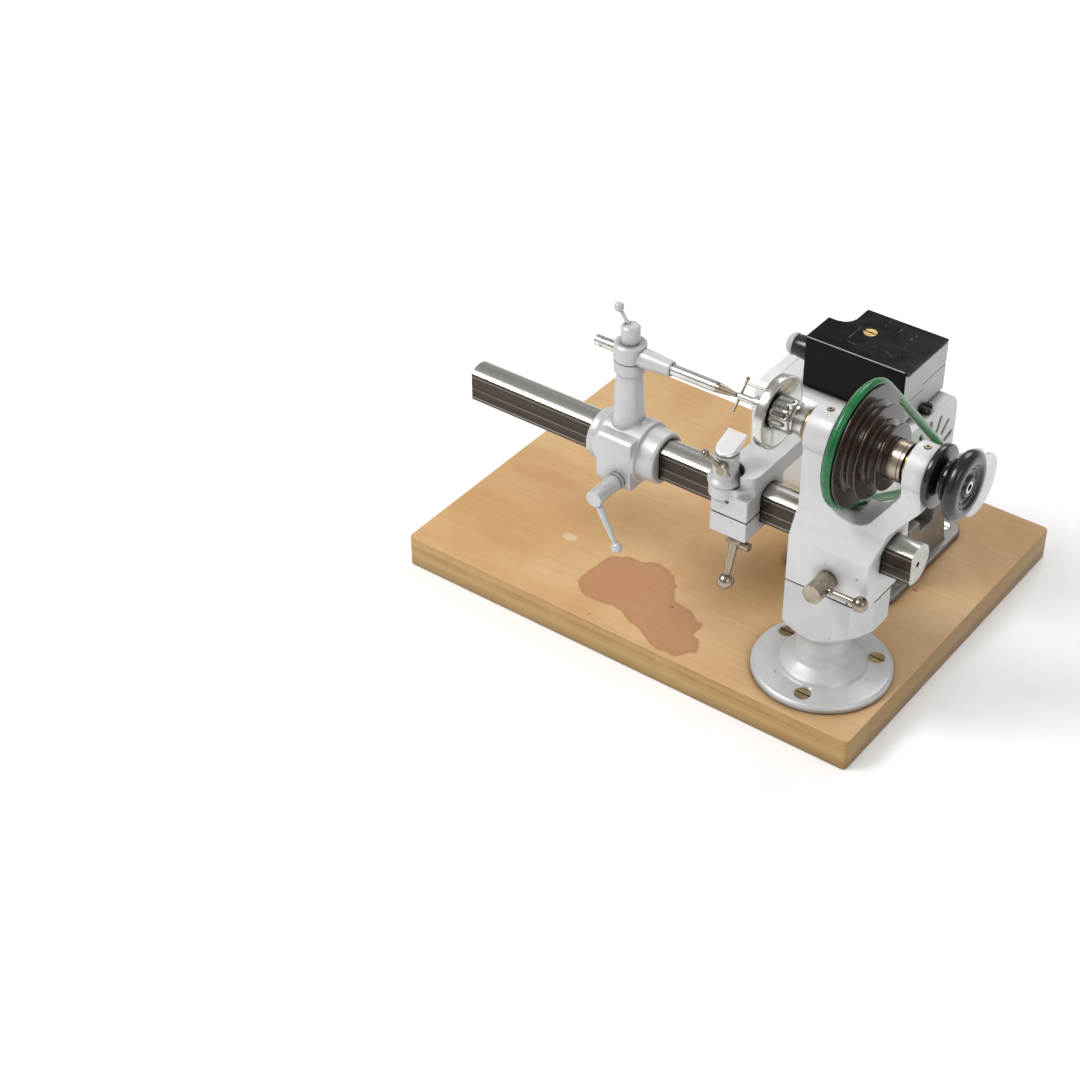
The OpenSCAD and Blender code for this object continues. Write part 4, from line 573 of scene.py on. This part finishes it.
def rounded(points, radius, steps=3):
    # cuts each corner of a closed outline back by radius and puts a soft bend there
    made = []
    count = len(points)
    for i, p in enumerate(points):
        p = Vector(p)
        before = Vector(points[i - 1]) - p
        after = Vector(points[(i + 1) % count]) - p
        cut = min(radius, before.length * 0.45, after.length * 0.45)
        a = p + before.normalized() * cut
        b = p + after.normalized() * cut
        for k in range(steps + 1):
            t = k / steps
            made.append(a * (1 - t) ** 2 + p * 2 * t * (1 - t) + b * t * t)
    return made


def spunShape(points, depth, height, steps=64):
    # closed outline of x and radius, spun round an axis along X
    bm = bmesh.new()
    spots = [bm.verts.new((x * mm, depth * mm, (height + r) * mm)) for x, r in points]
    lines = [bm.edges.new(pair) for pair in zip(spots, spots[1:])]
    lines.append(bm.edges.new((spots[-1], spots[0])))
    bmesh.ops.spin(bm, geom=spots + lines, cent=(0, depth * mm, height * mm), axis=(1, 0, 0),
                   angle=math.tau, steps=steps, use_merge=True)
    return bm


def meshObject(name, bm):
    # an object in the scene from a bmesh, which ends here
    mesh = bpy.data.meshes.new(name)
    bm.to_mesh(mesh)
    bm.free()
    made = bpy.data.objects.new(name, mesh)
    bpy.context.scene.collection.objects.link(made)
    return made


def bevel(bm, edges, width, segments, clamp=False):
    bmesh.ops.bevel(bm, geom=edges, offset=width * mm, offset_type="OFFSET", segments=segments,
                    profile=0.5, affect="EDGES", material=-1, clamp_overlap=clamp)


def addPiece(name, bm, node, sharp, replaced=(), slot=None):
    # the finished piece rides with its solid's body and takes its finish, or that of another slot
    slot = slot or slotOf[node]
    bmesh.ops.remove_doubles(bm, verts=bm.verts, dist=1e-6)
    bmesh.ops.recalc_face_normals(bm, faces=bm.faces)
    piece = meshObject(name, bm)
    piece.data.shade_smooth()
    piece.data.set_sharp_from_angle(angle=math.radians(sharp))
    piece.data.materials.append(finishes[slot])
    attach(piece, bodyOf[node])
    if replaced:
        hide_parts(*replaced)


def mergedCopy(node):
    bm = bmesh.new()
    bm.from_mesh(cad[node].data)
    bmesh.ops.remove_doubles(bm, verts=bm.verts, dist=2e-6)
    return bm


def evaluatedMesh(made):
    bpy.context.view_layer.update()
    graph = bpy.context.evaluated_depsgraph_get()
    mesh = bpy.data.meshes.new_from_object(made.evaluated_get(graph))
    bpy.data.objects.remove(made)
    bm = bmesh.new()
    bm.from_mesh(mesh)
    return bm


def castPiece(name, node, grain, passes):
    # a casting from its solid: every corner and joint gets a cast fillet
    raw = meshObject(name + "Raw", mergedCopy(node))
    remesh = raw.modifiers.new("grid", "REMESH")
    remesh.mode = "VOXEL"
    remesh.voxel_size = grain * mm
    smooth = raw.modifiers.new("soften", "SMOOTH")
    smooth.factor = 0.5
    smooth.iterations = passes
    addPiece(name, evaluatedMesh(raw), node, 60, [node])


def bevelledPiece(name, node, width, shortest, angle):
    # a moulded piece from its solid, with its long corners rounded
    bm = mergedCopy(node)
    long = [e for e in bm.edges if e.is_manifold and e.calc_length() > shortest * mm]
    edges = [e for e in long if e.calc_face_angle(0) > math.radians(angle)]
    bevel(bm, edges, width, 3, clamp=True)
    addPiece(name, bm, node, 5, [node])


def addBar(bm, start, end, width, low, high):
    # straight raised line between two points of a level face
    start, end = Vector(start), Vector(end)
    run = end - start
    size = (run.length + width, width, high - low)
    turn = Matrix.Rotation(math.atan2(run.y, run.x), 4, "Z")
    middle = (start + end) / 2
    place = Matrix.Translation(Vector((middle.x, middle.y, (low + high) / 2)) * mm) @ turn
    made = bmesh.ops.create_cube(bm, size=1)["verts"]
    bmesh.ops.scale(bm, vec=[v * mm for v in size], verts=made)
    bmesh.ops.transform(bm, matrix=place, verts=made)


# Board


def makeBoard():
    values = {"corner": 3.0, "arris": 0.9, "rimAngle": 60}
    bm = bmesh.new()
    bmesh.ops.create_cube(bm, size=1)
    size = boardHigh - boardLow
    bmesh.ops.scale(bm, vec=size * mm, verts=bm.verts)
    bmesh.ops.translate(bm, vec=(boardHigh + boardLow) / 2 * mm, verts=bm.verts)
    upright = [e for e in bm.edges if abs(e.verts[0].co.z - e.verts[1].co.z) > mm]
    bevel(bm, upright, values["corner"], 5)
    rims = [e for e in bm.edges if e.calc_face_angle(0) > math.radians(values["rimAngle"])]
    bevel(bm, rims, values["arris"], 3)
    addPiece("board", bm, "base_board", 40, ["base_board"])


makeBoard()
print("board made")

# Castings

castings = [
    ("headstockCasting", "headstock_frame", 0.55, 4), ("pillarCasting", "foot_pillar", 0.6, 4),
    ("tailCasting", "tail_body", 0.5, 4), ("restUpperCasting", "rest_shoe_upper", 0.38, 4),
    ("restLowerCasting", "rest_shoe_lower", 0.4, 3), ("restHolderCasting", "rest_holder", 0.3, 3),
    ("motorRightCasting", "motor_right_cover", 0.6, 3), ("motorLeftCasting", "motor_left_cover", 0.6, 3),
    ("motorFeetCasting", "motor_feet", 0.6, 2), ("toolRestPiece", "tool_rest", 0.22, 3),
]
for casting in castings:
    castPiece(*casting)
print("castings made")

# Turned pieces on the spindle line

pulleyHub = 11.0


def makeLockDisc():
    low, high = corners("lock_disc")
    r = (high.z - low.z) / 2
    x0, x1 = low.x, high.x
    values = {"rim": 3.6, "neck": 0.5, "bore": 3.3, "slope": (0.5, 1.5), "root": 1.4, "round": 1.1}
    disc = x0 + values["rim"]
    neck = r * values["neck"]
    run, rise = values["slope"]
    outline = [
        (x0, values["bore"]), (x0, r), (disc, r), (disc + run, neck + rise),
        (disc + values["root"], neck), (x1, neck), (x1, values["bore"]),
    ]
    spun = spunShape(rounded(outline, values["round"]), bedY, spindleZ)
    addPiece("lockDisc", spun, "lock_disc", 50, ["lock_disc"])


def makeHandwheel():
    low, high = corners("draw_handwheel")
    r = (high.z - low.z) / 2
    x0, x1 = low.x, high.x
    length = x1 - x0
    # neck: shares of the length and of the radius; face: depth, share of the radius, millimetres more
    values = {
        "bore": 3.26, "round": 2.2, "boss": 0.5,
        "neck": [(0, 0.62), (0.16, 0.62), (0.3, 0.74), (0.42, 0.94), (0.56, 1)],
        "face": [
            (2.2, 1, 0), (0, 1, -2.6), (0, 0.66, 0), (1.6, 0.66, -1.4), (1.6, 0.5, 0.6), (2.8, 0.5, -0.6),
            (2.8, 0.3, 0.6), (0.5, 0.3, -0.5),
        ],
    }
    outline = [(x0, values["bore"])]
    outline += [(x0 + length * along, r * out) for along, out in values["neck"]]
    outline += [(x1 - depth, r * out + more) for depth, out, more in values["face"]]
    outline.append((x1 - values["boss"], values["bore"]))
    spun = spunShape(rounded(outline, values["round"], 5), bedY, spindleZ, 72)
    addPiece("handwheel", spun, "draw_handwheel", 50, ["draw_handwheel"])


def makeChuckDisc():
    low, high = corners("chuck_disc")
    hubLow, hubHigh = corners("chuck_hub")
    r = (high.z - low.z) / 2
    hub = (hubHigh.z - hubLow.z) / 2
    values = {
        "bore": 4.16, "recess": 0.6, "land": 6.5, "slope": 1.5, "lip": 2.0, "gap": 0.6, "round": 0.9,
    }
    floor = low.x + values["recess"]
    outline = [
        (floor, values["bore"]), (floor, r - values["land"] - values["slope"]),
        (low.x, r - values["land"]), (low.x, r), (high.x, r), (high.x, r - values["lip"]),
        (hubLow.x, hub + values["gap"]), (hubLow.x, values["bore"]),
    ]
    spun = spunShape(rounded(outline, values["round"], 4), bedY, spindleZ, 96)
    addPiece("chuckDisc", spun, "chuck_disc", 40, ["chuck_disc"])


def makeConePulley():
    low, high = corners("cone_pulley")
    r = (high.z - low.z) / 2
    values = {
        "bore": 6.06, "pitch": 7.7, "drop": 7.4, "steps": 3, "rim": 0.5, "mouth": 2.9, "floor": 2.65,
        "foot": 1.7, "dish": 3.0, "dishHub": 2, "dishRim": 7, "face": 4.6, "round": 0.6,
    }
    dish = low.x + values["dish"]
    outline = [
        (low.x, values["bore"]), (low.x, pulleyHub), (dish, pulleyHub + values["dishHub"]),
        (dish, r - values["dishRim"]), (low.x, r - values["face"]),
    ]
    for step in range(values["steps"]):
        rim = r - step * values["drop"]
        floor = rim - values["floor"]
        middle = low.x + values["rim"] + values["mouth"] + step * values["pitch"]
        start = low.x if step == 0 else middle - values["pitch"] / 2
        outline += [
            (start, rim), (middle - values["mouth"], rim), (middle - values["foot"], floor),
            (middle + values["foot"], floor), (middle + values["mouth"], rim),
            (middle + values["pitch"] / 2, rim),
        ]
    end = outline[-1][0]
    outline += [(end, pulleyHub), (high.x, pulleyHub), (high.x, values["bore"])]
    spun = spunShape(rounded(outline, values["round"], 4), bedY, spindleZ, 96)
    addPiece("conePulley", spun, "cone_pulley", 38, ["cone_pulley"])


def makeChuckHub():
    low, high = corners("chuck_hub")
    r = (high.z - low.z) / 2
    values = {
        "flutes": 12, "depth": 1.5, "smooth": 14, "power": 1.5, "skin": 1.9, "ends": 2.2,
        "start": 0.4, "stop": 1.6, "bore": 5.46, "socket": 6.2, "arbor": 4.2, "step": 0.7,
        "first": 1.6, "spare": 3, "edge": 0.8, "nose": [(1, 0.3), (0.3, 1.0), (0, 1.8)],
    }
    count = int((high.x - low.x - values["spare"]) / values["step"])
    along = [(low.x + values["first"] + i * values["step"], r) for i in range(count)]
    nose = [(high.x - back, r - down) for back, down in values["nose"]]
    socket = high.x - values["socket"]
    outline = [
        (low.x, values["arbor"]), (low.x, r - values["edge"]), (low.x + values["edge"], r), *along, *nose,
        (high.x, values["bore"]), (socket, values["bore"]), (socket, values["arbor"]),
    ]
    bm = spunShape(outline, bedY, spindleZ, values["flutes"] * values["smooth"])
    start, stop = low.x + values["start"], high.x - values["stop"]
    for v in bm.verts:
        y, z = v.co.y - bedY * mm, v.co.z - spindleZ * mm
        reach = math.hypot(y, z) / mm
        if reach < r - values["skin"]:
            continue
        wave = 0.5 - 0.5 * math.cos(values["flutes"] * math.atan2(y, z))
        near = min(v.co.x / mm - start, stop - v.co.x / mm) / values["ends"]
        fade = math.sin(min(1, max(0, near)) * math.pi / 2)
        scale = (reach - values["depth"] * (1 - wave) ** values["power"] * fade) / reach
        v.co.y = bedY * mm + y * scale
        v.co.z = spindleZ * mm + z * scale
    addPiece("chuckHub", bm, "chuck_hub", 70, ["chuck_hub"])


def makePulleyCollar():
    # dull metal collar round the pulley's hub
    # rim: distance behind the hub's end and depth under the collar's rim
    end = corners("cone_pulley")[1].x
    values = {
        "length": 7.5, "over": 0.04, "inner": 9.5,
        "rim": [(2.4, 0), (2.1, 0.3), (1.8, 0), (0.4, 0), (0, 0.5)],
    }
    start = end - values["length"]
    rim = pulleyHub + values["over"]
    outline = [(start, values["inner"]), (start, rim)]
    outline += [(end - back, rim - down) for back, down in values["rim"]]
    outline.append((end, values["inner"]))
    spun = spunShape(outline, bedY, spindleZ, 72)
    addPiece("pulleyCollar", spun, "cone_pulley", 40, slot="bronzed_steel")


makeLockDisc()
makeHandwheel()
makeChuckDisc()
makeConePulley()
makeChuckHub()
makePulleyCollar()
print("turned pieces made")

# Belt


def makeBelt():
    low, high = corners("drive_belt")
    values = {"belt": 5.0, "fit": 0.99, "track": 33.0, "motorTrack": 7.6, "arc": 40, "sides": 20}
    dy, dz = motorY - bedY, motorZ - spindleZ
    span = math.hypot(dy, dz)
    slope = math.atan2(dz, dy)
    spread = math.asin((values["track"] - values["motorTrack"]) / span)
    top = slope + math.pi / 2 - spread
    under = slope - math.pi / 2 + spread
    x = (low.x + high.x) / 2
    path = []
    for i in range(values["arc"] + 1):
        a = top + (under + math.tau - top) * i / values["arc"]
        path.append((x, bedY + values["track"] * math.cos(a), spindleZ + values["track"] * math.sin(a)))
    for i in range(values["arc"] // 2 + 1):
        a = under + (top - under) * 2 * i / values["arc"]
        small = values["motorTrack"]
        path.append((x, motorY + small * math.cos(a), motorZ + small * math.sin(a)))
    line = bpy.data.curves.new("beltLine", "CURVE")
    line.dimensions = "3D"
    line.bevel_depth = values["belt"] / 2 * mm * values["fit"]
    line.bevel_resolution = values["sides"] // 4 - 1
    spline = line.splines.new("POLY")
    spline.points.add(len(path) - 1)
    for spot, p in zip(spline.points, path):
        spot.co = (p[0] * mm, p[1] * mm, p[2] * mm, 1)
    spline.use_cyclic_u = True
    holder = bpy.data.objects.new("beltLine", line)
    bpy.context.scene.collection.objects.link(holder)
    addPiece("roundBelt", evaluatedMesh(holder), "drive_belt", 60, ["drive_belt"])


makeBelt()
print("belt made")

# Control box


def makeControlBox():
    low, high = corners("control_box_cover")
    # frame and strokes: places from the cover's lowest corner; highlight line ends: distances from its two
    # ends
    values = {
        "round": 0.7, "longEdge": 3.0, "edgeAngle": 30, "ridge": 0.6, "ridgeLevel": (-0.3, 0.12),
        "frame": [
            (20.2, 29.0), (20.2, 9.5), (30.5, 7.2), (36.2, 12.8), (42.5, 12.8), (52.3, 7.6), (48.6, 31.5),
        ],
        "strokes": [
            ((30.5, 33.5), (30.5, 40.6)), ((39.6, 33.0), (40.0, 40.5)), ((49.7, 28.0), (49.9, 39.5)),
        ],
        "line": 0.45, "highlightIn": 0.02, "highlightEnds": (1.0, 3.0), "highlightLevel": (-0.62, -0.2),
    }
    bevelledPiece(
        "boxCover", "control_box_cover", values["round"], values["longEdge"], values["edgeAngle"])
    bm = bmesh.new()
    corner = Vector((low.x, low.y))
    level = [high.z + v for v in values["ridgeLevel"]]
    for start, end in [*zip(values["frame"], values["frame"][1:]), *values["strokes"]]:
        addBar(bm, corner + Vector(start), corner + Vector(end), values["ridge"], *level)
    addPiece("coverRidges", bm, "control_box_cover", 30)
    # a thin light strip along the cover's front top edge: a painted highlight
    bm = bmesh.new()
    front = low.y + values["line"] / 2 + values["highlightIn"]
    left, right = values["highlightEnds"]
    level = [high.z + v for v in values["highlightLevel"]]
    addBar(bm, (low.x + left, front), (high.x - right, front), values["line"], *level)
    addPiece("coverHighlightLine", bm, "control_box_cover", 30, slot="grey_plastic")


def makeGland():
    # pale dome with a black collar: distances from the dome's end and shares of the radius
    low, high = corners("cord_gland")
    y, z = (low.y + high.y) / 2, (low.z + high.z) / 2
    r = (high.z - low.z) / 2
    x0, x1 = low.x, high.x
    values = {
        "bore": 2.2, "deep": 12.0, "domeRound": 0.8,
        "dome": [(0, 0.42), (1.2, 0.7), (3.4, 0.9), (5.4, 0.92), (5.4, 0.7), (12.0, 0.7)],
        "collar": 5.5, "collarRim": (0.86, 0.92), "collarSeat": 5.5, "collarBore": 0.5, "collarRound": 0.6,
    }
    outline = [(x0 + values["deep"], values["bore"]), (x0, values["bore"])]
    outline += [(x0 + along, r * out) for along, out in values["dome"]]
    dome = spunShape(rounded(outline, values["domeRound"], 4), y, z, 48)
    addPiece("glandDome", dome, "cord_gland", 40, ["cord_gland"])
    start = x0 + values["collar"]
    inner = r * values["collarBore"]
    thin, thick = values["collarRim"]
    outline = [
        (start, inner), (start, r * thin), (x1 - values["collarSeat"], r * thick), (x1, r), (x1, inner),
    ]
    collar = spunShape(rounded(outline, values["collarRound"]), y, z, 48)
    addPiece("glandCollar", collar, "cord_gland", 40, slot="black_plastic")


makeControlBox()
makeGland()
print("control box made")

# Stage, light and camera


def facing(place, aim):
    # the turn that looks from one place at another
    return (Vector(aim) - Vector(place)).to_track_quat("-Z", "Y").to_euler()


def makeStage():
    values = {"size": 30.0, "floor": (0.9, 0.9, 0.9), "glow": 0.22}
    bm = bmesh.new()
    bmesh.ops.create_grid(bm, x_segments=1, y_segments=1, size=values["size"] / 2)
    floor = meshObject("floor", bm)
    made, tree, shader = startMaterial("floorPaper", 0.9)
    shader.inputs["Base Color"].default_value = (*values["floor"], 1)
    rays = put(tree, "ShaderNodeLightPath")
    shader.inputs["Emission Color"].default_value = (1, 1, 1, 1)
    seen = calc(tree, "MAXIMUM", rays.outputs["Is Camera Ray"], rays.outputs["Is Glossy Ray"])
    link(tree, calc(tree, "MULTIPLY", seen, values["glow"]), shader.inputs["Emission Strength"])
    floor.data.materials.append(made)


def makeLight():
    values = {
        "world": 0.42, "aim": (0.03, 0, 0.1),
        "lamps": [
            ("keyLamp", (-1.3, -1.3, 2.3), 1.2, 44.0), ("fillLamp", (2.0, -0.8, 1.5), 1.4, 8.0),
            ("backLamp", (-0.3, 1.9, 2.1), 1.4, 18.0),
        ],
    }
    world = bpy.data.worlds.new("studio")
    bpy.context.scene.world = world
    world.use_nodes = True
    tree = world.node_tree
    back = tree.nodes["Background"]
    back.inputs["Color"].default_value = (1, 1, 1, 1)
    rays = put(tree, "ShaderNodeLightPath")
    shown = calc(tree, "MAXIMUM", rays.outputs["Is Camera Ray"], rays.outputs["Is Transmission Ray"])
    strength = calc(tree, "MULTIPLY_ADD", shown, 1.0 - values["world"], values["world"])
    link(tree, strength, back.inputs["Strength"])
    for name, place, size, power in values["lamps"]:
        lamp = bpy.data.lights.new(name, "AREA")
        lamp.shape = "DISK"
        lamp.size = size
        lamp.energy = power
        holder = bpy.data.objects.new(name, lamp)
        holder.location = place
        holder.rotation_euler = facing(place, values["aim"])
        bpy.context.scene.collection.objects.link(holder)


def makeCamera():
    values = {
        "azimuth": 37.14, "elevation": 37.82, "roll": -0.33, "distance": 1.31976,
        "aim": (-0.08516, -0.07297, boardTop * mm), "lens": 74.69, "sensor": 36.0,
    }
    az, el = math.radians(values["azimuth"]), math.radians(values["elevation"])
    back = Vector((math.sin(az) * math.cos(el), -math.cos(az) * math.cos(el), math.sin(el)))
    lens = bpy.data.cameras.new("camera")
    lens.lens = values["lens"]
    lens.sensor_width = values["sensor"]
    lens.clip_start = 0.05
    lens.clip_end = 60
    holder = bpy.data.objects.new("camera", lens)
    holder.location = Vector(values["aim"]) + back * values["distance"]
    straight = (-back).to_track_quat("-Z", "Y").to_matrix()
    turned = straight @ Matrix.Rotation(math.radians(values["roll"]), 3, "Z")
    holder.rotation_euler = turned.to_euler()
    bpy.context.scene.collection.objects.link(holder)
    bpy.context.scene.camera = holder


def makeFlags():
    # dark cards that only reflections see, so that bare metal gets its dark bands
    values = {
        "black": (0.02, 0.02, 0.02, 1), "aim": (0.03, 0, 0.12),
        "cards": [("cardFront", (1.2, -1.7, 1.5), 1.7, 1.3), ("cardLow", (-1.6, -0.6, 0.5), 1.2, 0.5)],
    }
    made, _, shader = startMaterial("cardBlack", 0.9)
    shader.inputs["Base Color"].default_value = values["black"]
    for name, place, width, height in values["cards"]:
        bm = bmesh.new()
        bmesh.ops.create_grid(bm, x_segments=1, y_segments=1, size=0.5)
        bmesh.ops.scale(bm, vec=(width, height, 1), verts=bm.verts)
        card = meshObject(name, bm)
        card.data.materials.append(made)
        card.location = place
        card.rotation_euler = facing(place, values["aim"])
        card.visible_camera = False
        card.visible_diffuse = False
        card.visible_shadow = False
        card.visible_transmission = False


makeStage()
makeLight()
makeFlags()
makeCamera()
bpy.context.scene.view_settings.view_transform = "Standard"
print("stage, light and camera made")
